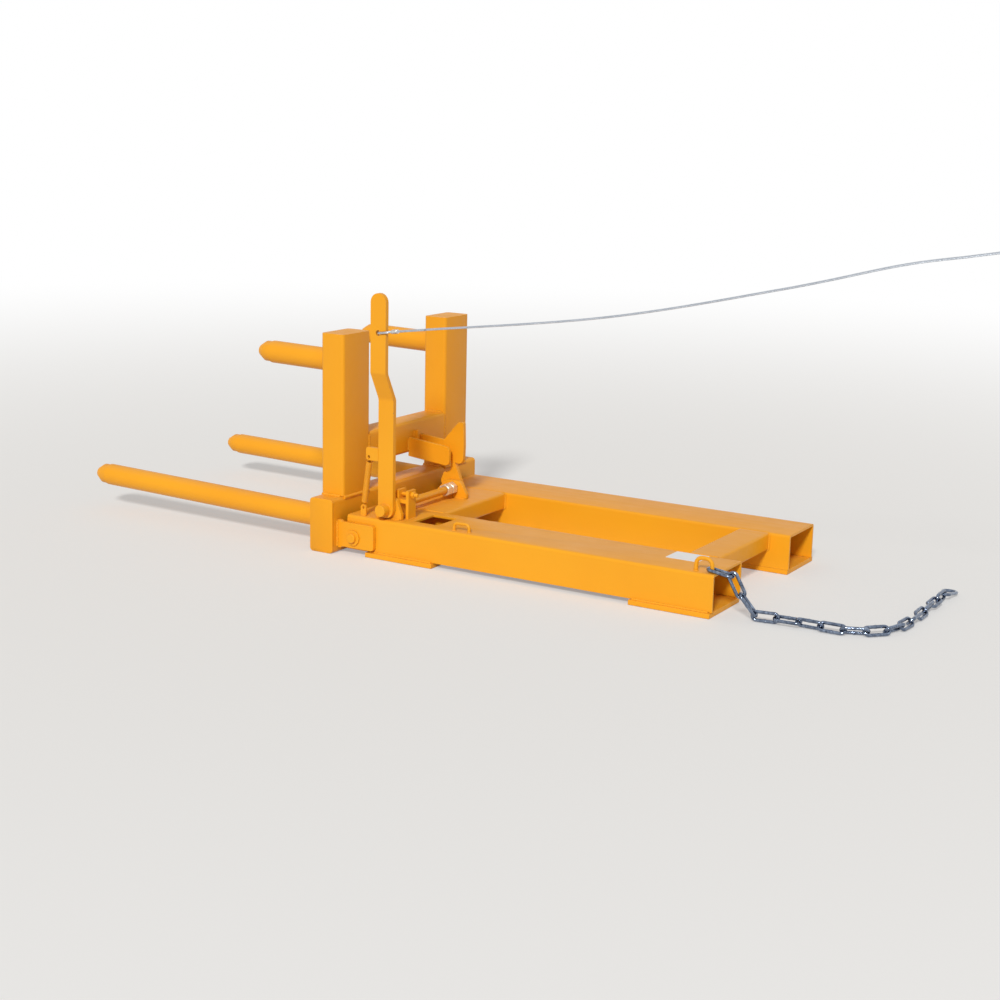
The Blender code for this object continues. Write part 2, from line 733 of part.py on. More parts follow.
def spring_anchor():
    base = POCKET_TOP + GAP
    half = ANCHOR_HALF_WIDTH
    outline = [Vector((ANCHOR_X - half, base)), Vector((ANCHOR_X + half, base))]
    outline += arc((ANCHOR_X, ANCHOR_EYE_Z), half, 0, math.pi, 8)
    hole = circle(ANCHOR_X, ANCHOR_EYE_Z, SPRING_EYE_RADIUS, 12)
    low, high = SPRING_Y - ANCHOR_THICK / 2, SPRING_Y + ANCHOR_THICK / 2
    extrusion("spring_anchor", [outline, hole], "Y", low, high, "frame")


def staple(name, x, y, span, height, bend, radius):
    """A bent rod with both feet on the pocket roof."""
    foot = POCKET_TOP + GAP
    top = POCKET_TOP + height - radius
    half = span / 2
    path = rounded([(x + half, foot, 0), (x + half, top, bend), (x - half, top, bend), (x - half, foot, 0)])
    rod(name, [(point.x, y, point.y) for point in path], radius, "frame", "orange_paint", resolution=3)


# Holder that carries the drum
def cross_tube():
    outer = rectangle(TUBE_FRONT, TUBE_REAR, 0, TUBE_HEIGHT, TUBE_CORNER)
    inner = rectangle(TUBE_FRONT + TUBE_WALL, TUBE_REAR - TUBE_WALL, TUBE_WALL, TUBE_HEIGHT - TUBE_WALL,
                      TUBE_CORNER - TUBE_WALL)
    half = TUBE_LENGTH / 2 - CAP_THICK - GAP
    extrusion("holder_cross_tube", [outer, inner], "Y", -half, half, "holder")
    for side, sign in SIDES:
        y_from, y_to = sorted((sign * TUBE_LENGTH / 2, sign * (TUBE_LENGTH / 2 - CAP_THICK)))
        cap = as_mesh(extrusion("tube_end_cap_" + side, [outer], "Y", y_from, y_to, "holder"))
        bevel_edges(cap, CAP_EDGE)


def upright(side, sign):
    middle = sign * UPRIGHT_PITCH / 2
    half = UPRIGHT_WIDTH / 2
    bottom = TUBE_HEIGHT + GAP
    top = TUBE_HEIGHT + UPRIGHT_HEIGHT
    outline = rectangle(TUBE_FRONT, TUBE_REAR, middle - half, middle + half, UPRIGHT_CORNER)
    post = as_mesh(extrusion("upright_" + side, [outline], "Z", bottom, top, "holder"))
    wall = UPRIGHT_WALL
    low = (TUBE_FRONT + wall, middle - half + wall, bottom - wall)
    high = (TUBE_REAR - wall, middle + half - wall, top - wall)
    combine(post, box("upright_bore_" + side, low, high, "holder"), "DIFFERENCE")
    smooth(post)


def upper_cross_beam():
    low, high = UPPER_BEAM_BOTTOM, UPPER_BEAM_BOTTOM + UPPER_BEAM_HEIGHT
    outer = rectangle(TUBE_FRONT, TUBE_REAR, low, high, TUBE_CORNER)
    inner = rectangle(TUBE_FRONT + TUBE_WALL, TUBE_REAR - TUBE_WALL, low + TUBE_WALL, high - TUBE_WALL,
                      TUBE_CORNER - TUBE_WALL)
    half = (UPRIGHT_PITCH - UPRIGHT_WIDTH) / 2 - GAP
    extrusion("upper_cross_beam", [outer, inner], "Y", -half, half, "holder")


def drum_bar(name, y, z, length):
    """A hollow bar, open at its welded end, that rises a little to a tapered nose."""
    nose = length - BAR_NOSE_LENGTH
    cone = length - BAR_CONE_LENGTH
    bore = BAR_RADIUS - BAR_WALL
    profile = [
        (0, length),
        (BAR_TIP_RADIUS, length),
        (BAR_NOSE_RADIUS, cone),
        (BAR_NOSE_RADIUS, nose),
        (BAR_RADIUS, nose),
        (BAR_RADIUS, 0),
        (bore, 0),
        (bore, nose),
        (0, nose),
    ]
    turn = (0, BAR_LIFT - math.pi / 2, 0)
    turned(name, profile, (BAR_ROOT_X, y, z), turn, "holder")


def hinge_ear(side, sign):
    root = TUBE_REAR + GAP
    low, high = HINGE_Z - EAR_DROP, HINGE_Z + EAR_RISE
    flare = EAR_ROOT_FLARE
    straight = root + EAR_ROOT_LENGTH
    tail = HINGE_X + EAR_TAIL
    outline = rounded([
        (root, low - flare, 0),
        (straight, low - flare, 0),
        (straight + flare, low, 0),
        (tail, low, EAR_CORNER),
        (tail, high, EAR_CORNER),
        (straight + flare, high, 0),
        (straight, high + flare, 0),
        (root, high + flare, 0),
    ])
    hole = circle(HINGE_X, HINGE_Z, HINGE_PIN_RADIUS + PIN_PLAY)
    inner = POCKET_OUTER + GAP
    y_from, y_to = sorted((sign * inner, sign * (inner + EAR_THICK)))
    extrusion("hinge_ear_" + side, [outline, hole], "Y", y_from, y_to, "holder")


def tongue():
    root = TUBE_REAR + GAP
    tip = root + TONGUE_LENGTH
    low = UPPER_BEAM_BOTTOM - TONGUE_SAG
    high = low + TONGUE_DEPTH
    outline = rounded([
        (root, low, 0),
        (tip, low - TONGUE_DROOP, TONGUE_CORNER),
        (tip, high - TONGUE_DROOP, TONGUE_CORNER),
        (root, high, 0),
    ])
    left = TONGUE_SIDE
    extrusion("tongue_plate_left", [outline], "Y", left - TONGUE_THICK, left, "holder")
    right = TONGUE_RIGHT
    extrusion("tongue_plate_right", [outline], "Y", right, right + TONGUE_THICK, "holder")
    pin = circle(PIN_X, PIN_Z, LATCH_PIN_RADIUS, 24)
    smooth(as_mesh(extrusion("latch_pin", [pin], "Y", left + GAP, right - GAP, "holder", "dark_steel")))
    rib_y = left + RIB_OFFSET
    rib_z = high - RIB_SINK
    box("tongue_rib", (root, rib_y - RIB_THICK / 2, rib_z),
        (root + RIB_DEPTH, rib_y + RIB_THICK / 2, rib_z + RIB_HEIGHT), "holder")


# Release lever with its shaft and hook
def lever_shaft():
    """One turned shaft: a thick end for the lever and the gusset, then thinner to the hook."""
    boss_out = LEVER_OUT - BOSS_OUT
    boss_in = GUSSET_IN + BOSS_IN
    end = HOOK_RIGHT + SHAFT_END
    edge = BROKEN_EDGE
    profile = [
        (0, end), (SHAFT_RADIUS - edge, end), (SHAFT_RADIUS, end - edge), (SHAFT_RADIUS, boss_in),
        (BOSS_RADIUS, boss_in), (BOSS_RADIUS, boss_out + edge), (BOSS_RADIUS - edge, boss_out), (0, boss_out),
    ]
    turn = (-math.pi / 2, 0, 0)
    turned("lever_shaft", profile, (SHAFT_X, 0, SHAFT_Z), turn, "lever")


def release_lever():
    """The bar's side view is drawn out over its width and then cut to its front view."""
    low, high = SHAFT_Z - LEVER_WIDTH, SHAFT_Z + LEVER_TOP + LEVER_WIDTH
    from_z, to_z = SHAFT_Z + LEVER_JOGGLE_FROM, SHAFT_Z + LEVER_JOGGLE_TO
    bend = LEVER_THICK
    side_view = rounded([
        (LEVER_IN, low, 0), (LEVER_IN, from_z, bend), (LEVER_TOP_IN, to_z, 2 * bend), (LEVER_TOP_IN, high, 0),
        (LEVER_TOP_OUT, high, 0), (LEVER_TOP_OUT, to_z, bend), (LEVER_OUT, from_z, 2 * bend), (LEVER_OUT, low, 0),
    ])
    half = LEVER_WIDTH / 2
    x_from, x_to = SHAFT_X - LEVER_WIDTH, SHAFT_X + LEVER_WIDTH
    lever = as_mesh(extrusion("release_lever", [side_view], "X", x_from, x_to, "lever"))
    lever_top = SHAFT_Z + LEVER_TOP - half
    front_view = arc((SHAFT_X, SHAFT_Z), half, math.pi, 2 * math.pi, 12)
    front_view += arc((SHAFT_X, lever_top), half, 0, math.pi, 12)
    holes = [
        circle(SHAFT_X, SHAFT_Z, BOSS_RADIUS + PIN_PLAY),
        circle(ROPE_X, ROPE_Z, ROPE_HOLE_RADIUS, 16),
    ]
    y_from, y_to = LEVER_TOP_OUT - LEVER_THICK, LEVER_IN + LEVER_THICK
    shape = as_mesh(extrusion("lever_front_view", [front_view, *holes], "Y", y_from, y_to, "lever"))
    combine(lever, shape, "INTERSECT")
    smooth(lever)


def shaft_nut(name, y_from, y_to):
    radius = SHAFT_NUT_FLATS / math.sqrt(3)
    corners = [Vector((SHAFT_X + radius * math.cos(a), SHAFT_Z + radius * math.sin(a)))
               for a in (math.radians(90 + 60 * k) for k in range(6))]
    hole = circle(SHAFT_X, SHAFT_Z, SHAFT_RADIUS + PIN_PLAY)
    extrusion(name, [corners, hole], "Y", y_from, y_to, "lever", "zinc")


def latch_hook():
    """The hook's throat is an arc about the shaft, so that the pin holds it closed once it is past centre."""
    pin = Vector((PIN_X - SHAFT_X, PIN_Z - SHAFT_Z))
    throat = pin.length + LATCH_PIN_RADIUS + HOOK_RELIEF
    up = math.pi / 2
    nose = arc((SHAFT_X, SHAFT_Z), throat, up + HOOK_NOSE_ANGLE, up + HOOK_THROAT_ANGLE, 5)
    hub = arc((SHAFT_X, SHAFT_Z), HOOK_HUB_RADIUS, HOOK_HUB_START, 2 * math.pi, 8)
    back = SHAFT_X + HOOK_BACK_LEAN
    heel = SHAFT_Z + HOOK_HEEL
    top = rounded([
        (back - HOOK_BACK_STEP, SHAFT_Z + HOOK_BACK_LOW, HOOK_BACK_LOW_BEND),
        (back, SHAFT_Z + HOOK_BACK_HIGH, HOOK_BACK_HIGH_BEND),
        (back - HOOK_BACK_STEP, heel, HOOK_HEEL_CORNER),
        (SHAFT_X + HOOK_HEEL_REACH, heel - HOOK_BACK_STEP, HOOK_TIP_CORNER),
        (SHAFT_X - HOOK_FRONT, SHAFT_Z + HOOK_NOSE_RISE, HOOK_TIP_CORNER),
        (nose[0].x, nose[0].y, 0),
    ])[:-1]
    foot = rounded([
        (nose[-1].x, nose[-1].y, 0),
        (SHAFT_X - HOOK_JAW_REACH, SHAFT_Z + HOOK_THROAT_BOTTOM, HOOK_JAW_CORNER),
        (SHAFT_X - HOOK_SPUR_REACH, SHAFT_Z + HOOK_THROAT_TOP, HOOK_TIP_CORNER),
        (SHAFT_X - HOOK_SPUR_END, SHAFT_Z + HOOK_THROAT_TOP + HOOK_SPUR_RISE, HOOK_SPUR_CORNER),
        (SHAFT_X - HOOK_WAIST_REACH, SHAFT_Z + HOOK_WAIST_RISE, HOOK_WAIST_BEND),
        (hub[0].x, hub[0].y, 0),
    ])[1:-1]
    hole = circle(SHAFT_X, SHAFT_Z, SHAFT_RADIUS + PIN_PLAY)
    extrusion("latch_hook", [nose + foot + hub + top, hole], "Y", HOOK_LEFT, HOOK_RIGHT, "lever")


def spring_plate_eye():
    """Where the spring hooks in: low on the plate's free side."""
    tip = SHAFT_X - LEVER_WIDTH / 2 - SPRING_PLATE_REACH
    return (tip + SPRING_EYE_INSET, SHAFT_Z + SPRING_PLATE_BOTTOM + SPRING_EYE_INSET)


def spring_plate():
    edge = SHAFT_X - LEVER_WIDTH / 2 - GAP
    tip = edge - SPRING_PLATE_REACH
    low = SHAFT_Z + SPRING_PLATE_BOTTOM
    high = low + SPRING_PLATE_HEIGHT
    outline = rounded([(edge, low, 0), (edge, high, 0), (tip, high, SPRING_PLATE_CORNER), (tip, low, SPRING_PLATE_CORNER)])
    hole = circle(*spring_plate_eye(), SPRING_EYE_RADIUS, 12)
    extrusion("spring_plate", [outline, hole], "Y", LEVER_OUT, LEVER_IN, "lever")


def lever_spring():
    """The coil's outer form with a hook at each end."""
    low = Vector((ANCHOR_X, SPRING_Y, ANCHOR_EYE_Z))
    eye_x, eye_z = spring_plate_eye()
    high = Vector((eye_x, SPRING_Y, eye_z))
    along = (high - low).normalized()
    middle = (low + high) / 2
    half = SPRING_COIL_LENGTH / 2
    edge = SPRING_COIL_EDGE
    profile = [
        (0, half), (SPRING_RADIUS - edge, half), (SPRING_RADIUS, half - edge),
        (SPRING_RADIUS, edge - half), (SPRING_RADIUS - edge, -half), (0, -half),
    ]
    turn = along.to_track_quat("Z", "Y").to_euler()
    spring = turned("lever_spring", profile, middle, turn, "frame", steps=16)
    spring_end("spring_hook_low", spring, middle - along * half, low, -along, ANCHOR_THICK)
    spring_end("spring_hook_high", spring, middle + along * half, high, along, LEVER_THICK)


def spring_end(name, spring, coil_end, eye, outward, plate):
    """A bent wire that leaves the coil, passes the plate's side and goes through its eye."""
    wire = 2 * SPRING_WIRE_RADIUS
    side = Vector((0, plate / 2 + wire, 0))
    start = coil_end - outward * wire
    beside = eye + side - outward * (SPRING_EYE_INSET + wire)
    eye = eye - outward * (SPRING_EYE_RADIUS * math.cos(math.pi / 12) - SPRING_WIRE_RADIUS - GAP)
    points = [start, coil_end, beside, eye + side - outward * wire / 2, eye + side * 0.7, eye - side * 0.7,
              eye - side - outward * wire / 2, eye - side - outward * 2 * wire]
    wire = as_mesh(rod(name, points, SPRING_WIRE_RADIUS, "frame", "orange_paint"))
    combine(spring, wire, "UNION")


# Rope from the lever to the driver
def rope_line():
    """The rope's points: dead end, clip, near side of the lever, hole, far side, clip, then away."""
    hole = BODY_AT["rope"]
    away = (Vector(ROPE_ROUTE[0]) - hole).normalized()
    side = Vector((0, 1, 0))
    centre = hole + away * (ROPE_LOOP_RADIUS - ROPE_RADIUS / 2)
    loop = []
    for angle in (math.pi * (0.5 - k / 8) for k in range(9)):
        loop.append(centre - (away * math.cos(angle) + side * math.sin(angle)) * ROPE_LOOP_RADIUS)
    strand = side * (ROPE_RADIUS + GAP)
    wide = side * ROPE_LOOP_RADIUS
    clip = hole + away * CLIP_AT
    before, after = clip - away * CLIP_LENGTH / 2, clip + away * CLIP_LENGTH / 2
    turning = hole + away * ROPE_STRAIGHT
    tail_end = clip + away * ROPE_TAIL - strand * ROPE_TAIL_SPREAD
    points = [tail_end, (tail_end + after - strand) / 2, after - strand, before - strand, turning - wide]
    points += loop
    points += [turning + wide, before + strand]
    points += smooth_route([after + strand] + [Vector(place) for place in ROPE_ROUTE], ROPE_STEP)
    return points, clip, away


def rope():
    points, clip, away = rope_line()
    rod("pull_rope", points, ROPE_RADIUS, "rope", "zinc", at=BODY_AT["rope"])
    end, heading = points[-1], (points[-1] - points[-2]).normalized()
    rope_clip(clip, away)
    rope_ring(end, heading)


def rope_clip(clip, away):
    """A pressed sleeve with one slot for both strands."""
    turn = away.to_track_quat("X", "Z").to_euler()
    sleeve = block("rope_clip", (CLIP_LENGTH, CLIP_WIDTH, CLIP_HEIGHT), clip, "rope", "zinc", turn)
    slot = (2 * CLIP_LENGTH, 4 * (ROPE_RADIUS + GAP), 2 * (ROPE_RADIUS + GAP))
    combine(sleeve, block("clip_slot", slot, clip, "rope", turn=turn), "DIFFERENCE")


def rope_ring(end, heading):
    turn = heading.to_track_quat("Z", "Y").to_euler()
    edge = BROKEN_EDGE
    length = FERRULE_LENGTH
    profile = [
        (0, length + GAP), (FERRULE_RADIUS - edge, length + GAP), (FERRULE_RADIUS, length + GAP - edge),
        (FERRULE_RADIUS, GAP + edge), (FERRULE_RADIUS - edge, GAP), (0, GAP),
    ]
    ferrule = turned("rope_ring", profile, end, turn, "rope", "zinc", 16)
    centre = end + heading * (length + RING_RADIUS)
    up = heading.cross(Vector((0, 1, 0))).normalized()
    angles = [2 * math.pi * k / 24 for k in range(24)]
    points = [centre + heading * RING_RADIUS * math.cos(a) + up * RING_RADIUS * math.sin(a) for a in angles]
    combine(ferrule, as_mesh(rod("ring_rod", points, RING_ROD_RADIUS, "rope", "zinc", closed=True)), "UNION")


# Safety chain on its staple
def link_curve():
    """One link lying along X, flat in XY."""
    half = LINK_LENGTH / 2 - LINK_WIDTH / 2
    bend = LINK_WIDTH / 2 - LINK_ROD_RADIUS
    ends = arc((half, 0), bend, -math.pi / 2, math.pi / 2, 6)
    ends += arc((-half, 0), bend, math.pi / 2, 3 * math.pi / 2, 6)
    curve = bpy.data.curves.new("chain_link", "CURVE")
    curve.dimensions = "3D"
    curve.bevel_depth = LINK_ROD_RADIUS
    curve.bevel_resolution = 1
    spline = curve.splines.new("POLY")
    spline.points.add(len(ends) - 1)
    for point, where in zip(spline.points, ends):
        point.co = (*where, 0, 1)
    spline.use_cyclic_u = True
    curve.materials.append(MATERIALS["zinc"])
    return curve


def towards(heading, pitch):
    return Vector((math.cos(pitch) * math.cos(heading), math.cos(pitch) * math.sin(heading), math.sin(pitch)))


def chain_twist(number):
    """Links stand on edge and lie flat by turns at both ends, and lean halfway between."""
    ramp = min(number - TWIST_FROM, LINKS - 1 - number) / TWIST_LINKS
    return TWIST * max(0.0, min(1.0, ramp))


def ground_level(number):
    """Height of a link's middle that keeps it and the next one on the ground."""
    bend = LINK_WIDTH / 2 - LINK_ROD_RADIUS
    return LINK_ROD_RADIUS + 3 * GAP + bend * math.cos(chain_twist(number))


def chain_places():
    """(middle, direction) of each link: round the staple, down from the pocket's end, then along the ground."""
    rod_at = LINK_LENGTH / 2 - LINK_ROD_RADIUS
    hung = LINK_LENGTH / 2 - LINK_WIDTH / 2 + LINK_ROD_RADIUS * LINK_HANG
    even = LINK_LENGTH / 2 - 2 * LINK_ROD_RADIUS - LINK_PLAY
    ahead = towards(FIRST_HEADING, FIRST_PITCH)
    front_rod = STAPLE_X + STAPLE_SPAN / 2 - STAPLE_ROD_RADIUS - LINK_ROD_RADIUS - LINK_PLAY
    middle_x = front_rod + ahead.x * rod_at
    middle_y = STAPLE_Y + ahead.y * rod_at
    middle_z = POCKET_TOP + (LINK_ROD_RADIUS + GAP) / ahead.x + (POCKET_REAR - middle_x) * math.tan(-FIRST_PITCH)
    places = [(Vector((middle_x, middle_y, middle_z)), ahead)]
    held = places[0][0] + ahead * rod_at
    ahead = towards(HANG_HEADING, SECOND_PITCH)
    places.append((held + ahead * hung, ahead))
    joint = places[1][0] + ahead * even
    drop = joint.z - ground_level(TWIST_FROM)
    lower = towards(HANG_HEADING, -math.asin(drop / (even + rod_at)))
    places.append((joint + lower * even, lower))
    held = places[2][0] + lower * rod_at
    ahead = towards(HANG_HEADING, 0)
    places.append((held + ahead * hung, ahead))
    staple_foot = Vector((STAPLE_X, STAPLE_Y, 0))
    route = smooth_route([staple_foot + Vector((*point, 0)) for point in CHAIN_ROUTE], CHAIN_STEP)
    while len(places) < LINKS:
        middle, last = places[-1]
        joint = middle + last * even
        below = Vector((joint.x, joint.y, 0))
        target = next(p for p in route if (p - below).dot(last) > 0 and (p - below).length > 2 * even)
        target = Vector((target.x, target.y, ground_level(len(places))))
        ahead = (target - joint).normalized()
        reach = even - LINK_PLAY_IN_BEND * (1 - ahead.dot(last))
        places.append((middle + last * reach + ahead * reach, ahead))
    return places


def across(ahead, roll):
    """The turn of a piece that lies along a direction, rolled about it."""
    side = Vector((0, 0, 1)).cross(ahead).normalized()
    up = ahead.cross(side)
    width = side * math.cos(roll) + up * math.sin(roll)
    return Matrix((ahead, width, ahead.cross(width))).transposed().to_euler()


def chain():
    curve = link_curve()
    places = chain_places()
    for number, (middle, ahead) in enumerate(places):
        link = bpy.data.objects.new(f"chain_link_{number + 1:02d}", curve)
        PARTS.objects.link(link)
        link.parent = BODIES["frame"]
        link.location = middle
        link.rotation_euler = across(ahead, number * math.pi / 2 + chain_twist(number))
    chain_hook(*places[-1])


def chain_hook(middle, last):
    """An open hook with a bent eye, lying on the ground."""
    held = middle + last * (LINK_LENGTH / 2 - LINK_ROD_RADIUS)
    longest = max(x for x, _ in CHAIN_HOOK_SHAPE)
    drop = held.z - HOOK_ROD_RADIUS - 3 * GAP
    ahead = towards(math.atan2(last.y, last.x), -math.asin(drop / (longest + HOOK_ROD_RADIUS)))
    side = Vector((0, 0, 1)).cross(ahead).normalized()
    eye = held + ahead * HOOK_EYE_SHIFT
    eye_arc = arc((0, 0), HOOK_EYE_RADIUS, math.radians(-5), math.radians(270), 14)
    shank = smooth_route([Vector((*point, 0)) for point in CHAIN_HOOK_SHAPE], HOOK_STEP)
    flat = [Vector((*point, 0)) for point in eye_arc[:-1]] + shank
    points = [eye + ahead * point.x + side * point.y for point in flat]
    rod("chain_hook", points, HOOK_ROD_RADIUS, "frame", "zinc")


def build():
    make_materials()
    make_bodies()
    for side, sign in SIDES:
        fork_pocket(side, sign)
        strap("strap_front_" + side, sign, POCKET_FRONT + FRONT_STRAP_SETBACK, FRONT_STRAP_LENGTH)
        strap("strap_rear_" + side, sign, POCKET_REAR - REAR_STRAP_SETBACK - REAR_STRAP_LENGTH, REAR_STRAP_LENGTH)
        hinge_pin(side, sign)
        upright(side, sign)
        hinge_ear(side, sign)
        drum_bar("drum_bar_lower_" + side, sign * LOWER_BAR_PITCH / 2, LOWER_BAR_RISE, LOWER_BAR_LENGTH)
        drum_bar("drum_bar_upper_" + side, sign * UPPER_BAR_PITCH / 2, UPPER_BAR_RISE, UPPER_BAR_LENGTH)
    cross_beam("cross_beam_front", POCKET_FRONT + FRONT_BEAM_SETBACK, FRONT_BEAM_DEPTH)
    cross_beam("cross_beam_rear", POCKET_REAR - REAR_BEAM_SETBACK - REAR_BEAM_DEPTH, REAR_BEAM_DEPTH)
    shaft_gusset()
    shaft_foot_plate()
    lever_stop()
    spring_anchor()
    staple("rope_guide", GUIDE_X, SPRING_Y, GUIDE_SPAN, GUIDE_HEIGHT, GUIDE_BEND, GUIDE_ROD_RADIUS)
    staple("chain_staple", STAPLE_X, STAPLE_Y, STAPLE_SPAN, STAPLE_HEIGHT, STAPLE_SPAN / 2, STAPLE_ROD_RADIUS)
    cross_tube()
    upper_cross_beam()
    tongue()
    lever_shaft()
    release_lever()
    nut_end = FOOT_LEFT - SIDE_PLAY
    shaft_nut("shaft_nut_inner", nut_end - SHAFT_NUT_HEIGHT, nut_end)
    nut_end -= SHAFT_NUT_HEIGHT + NUT_SPACE
    shaft_nut("shaft_nut_outer", nut_end - SHAFT_NUT_HEIGHT, nut_end)
    latch_hook()
    spring_plate()
    lever_spring()
    rope()
    chain()


clear_scene()
PARTS = make_collection("drum_lifter")
CUTTERS = make_collection("cutters")
build()
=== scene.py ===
import json
import math

import bmesh
import bpy
from mathutils import Matrix, Vector

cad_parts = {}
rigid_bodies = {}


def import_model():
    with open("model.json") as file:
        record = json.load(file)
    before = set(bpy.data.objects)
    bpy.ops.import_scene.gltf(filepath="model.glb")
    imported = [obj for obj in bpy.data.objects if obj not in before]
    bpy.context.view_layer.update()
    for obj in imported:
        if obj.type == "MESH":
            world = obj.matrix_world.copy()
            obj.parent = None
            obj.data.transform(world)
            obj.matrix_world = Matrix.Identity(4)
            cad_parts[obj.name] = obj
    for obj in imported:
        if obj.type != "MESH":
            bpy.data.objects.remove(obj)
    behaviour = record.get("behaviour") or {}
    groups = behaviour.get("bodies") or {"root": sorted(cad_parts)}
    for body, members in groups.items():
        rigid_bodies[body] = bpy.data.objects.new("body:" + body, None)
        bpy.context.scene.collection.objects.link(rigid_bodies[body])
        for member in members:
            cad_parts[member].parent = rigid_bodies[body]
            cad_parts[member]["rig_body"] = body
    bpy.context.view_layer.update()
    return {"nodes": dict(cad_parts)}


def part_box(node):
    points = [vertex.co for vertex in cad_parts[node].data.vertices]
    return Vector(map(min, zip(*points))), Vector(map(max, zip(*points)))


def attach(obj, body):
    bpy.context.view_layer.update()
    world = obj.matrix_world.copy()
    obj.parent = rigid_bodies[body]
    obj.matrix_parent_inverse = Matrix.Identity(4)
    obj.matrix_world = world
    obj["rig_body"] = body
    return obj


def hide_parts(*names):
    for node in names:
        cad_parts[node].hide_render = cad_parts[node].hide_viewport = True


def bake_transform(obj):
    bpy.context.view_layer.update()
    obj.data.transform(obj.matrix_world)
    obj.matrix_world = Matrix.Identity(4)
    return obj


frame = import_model()

# Places below are given from the source's datum: on the ground, 0.222 m in front of the frame's origin
DATUM = Vector((-0.2219494, 0, 0))
GAP = 0.0003
X_AXIS = Vector((1, 0, 0))
Y_AXIS = Vector((0, 1, 0))
Z_AXIS = Vector((0, 0, 1))

# Camera, from the vanishing lines of the fork pockets
CAMERA_AT = (2.46335, -3.7999, 1.1208)
CAMERA_YAW = math.radians(30.835)
CAMERA_PITCH = math.radians(-12.771)
CAMERA_ROLL = math.radians(1.236)
CAMERA_LENS = 62.56
CAMERA_SENSOR = 36.0
CAMERA_FAR = 200

# Pull rope, with its route in (x, z)
ROPE_HOLE = Vector((0.260, -0.328, 0.575)) + DATUM
ROPE_RADIUS = 0.00275
ROPE_LOOP_RADIUS = 0.0094
ROPE_TAIL = 0.090
ROPE_STRAIGHT = 0.027
ROPE_STEP = 0.004
ROPE_LAY = 0.036
STRANDS_ROUND = 6
STRAND_STEP = 0.0025
STRAND_SHARE = 0.35
CLIP_AT = 0.046
CLIP_LENGTH = 0.018
CLIP_WIDTH = 0.0162
CLIP_HEIGHT = 0.0105
FERRULE_RADIUS = 0.005
FERRULE_LENGTH = 0.028
RING_RADIUS = 0.019
RING_ROD_RADIUS = 0.003
ROPE_ROUTE = ((0.868, 0.660), (1.295, 0.754), (1.551, 0.821), (1.693, 0.848), (1.790, 0.866))

# Safety chain, with its route in (x, y)
LINKS = 16
LINK_ROD_RADIUS = 0.004
LINK_LENGTH = 0.068
LINK_WIDTH = 0.028
LINK_PLAY = 0.0004
LINK_PLAY_IN_BEND = 0.009
LINK_HANG = 0.3
LINK_WELD_REACH = 0.005
LINK_WELD_SWELL = 0.13
TWIST_FROM = 3
TWIST_LINKS = 3
TWIST = math.radians(45)
FIRST_PITCH = math.radians(-10)
SECOND_PITCH = math.radians(-62)
FIRST_HEADING = math.radians(4)
HANG_HEADING = math.radians(9)
STAPLE_X = 1.132
STAPLE_Y = -0.2883
STAPLE_SPAN = 0.040
STAPLE_ROD_RADIUS = 0.005
POCKET_TOP = 0.101
POCKET_REAR = 1.165
CHAIN_ROUTE_STEP = 0.004
CHAIN_ROUTE = (
    (1.250, -0.275), (1.305, -0.266), (1.370, -0.263), (1.437, -0.260), (1.484, -0.250), (1.522, -0.225),
    (1.548, -0.186), (1.558, -0.140), (1.560, -0.050), (1.558, 0.040), (1.557, 0.160), (1.552, 0.320),
)

# Spring of the lever
SPRING_LOW_EYE_Z = 0.122
SPRING_RADIUS = 0.008
SPRING_WIRE_RADIUS = 0.0012
SPRING_TURNS = 41
SPRING_LENGTH = 0.106
EYE_INSET = 0.0085
ANCHOR_THICKNESS = 0.006
PLATE_THICKNESS = 0.012
HOOK_SHOULDER = 0.0062
HOOK_RIM = 0.0019
HOOK_CORNER = 0.0008
HOOK_TIP = 0.0035
HOOK_STEP = 0.0009

# Weld beads: radii, and for each body the length of a ripple and how far it swells
STRAP_BEAD = 0.0036
BEAM_BEAD = 0.0032
SEAM_BEAD = 0.0021
PLATE_BEADS = (
    ("shaft_gusset", 0.0024, 0.004), ("shaft_foot_plate", 0.0020, 0.004), ("spring_anchor", 0.0018, 0.001),
)
BRACKET_BEAD = 0.0020
STAPLE_BEAD = 0.0016
FOOT_BEAD = 0.0054
UPRIGHT_BEAD = 0.0036
UPPER_BEAM_BEAD = 0.0048
EAR_BEAD_OUTSIDE = 0.0034
EAR_BEAD_INSIDE = 0.0018
BAR_BEAD = 0.0036
TONGUE_BEAD = 0.0026
RIB_BEAD = 0.0018
SPRING_PLATE_BEAD = 0.0016
HOOK_BEAD = 0.0018
LEVER_BEAD = 0.0017
BEAD_STEP = 0.0011
BEAD_SEED = 3.0
BEAD_RIPPLES = {"frame": (0.0055, 0.24), "holder": (0.0090, 0.34), "lever": (0.0042, 0.20)}

# Painted steel: the widths of its broken edges, by the start of a node's name
EDGE_ANGLE = 38
EDGE_WIDTHS = {
    "fork_pocket": 0.0010, "strap": 0.0012, "cross_beam": 0.0, "holder_cross_tube": 0.0, "tube_end_cap": 0.0,
    "upright": 0.0038, "upper_cross_beam": 0.0, "drum_bar": 0.0008, "hinge_ear": 0.0012, "tongue": 0.0011,
    "shaft_gusset": 0.0011, "shaft_foot_plate": 0.0011, "lever_stop_bracket": 0.0009, "spring_anchor": 0.0007,
    "release_lever": 0.0013, "latch_hook": 0.0012, "spring_plate": 0.0011, "hinge_pin": 0.0005,
    "lever_shaft": 0.0005, "rope_guide": 0.0, "chain_staple": 0.0, "lever_stop_bolt": 0.0004,
}

# Nuts of the shaft
NUT_BORE = 0.0103
NUT_LIP = 0.0010
NUT_FACE = 0.95
NUT_CHAMFER = math.radians(30)
NUT_TURN = math.pi / 6
NUT_COLUMNS = 72

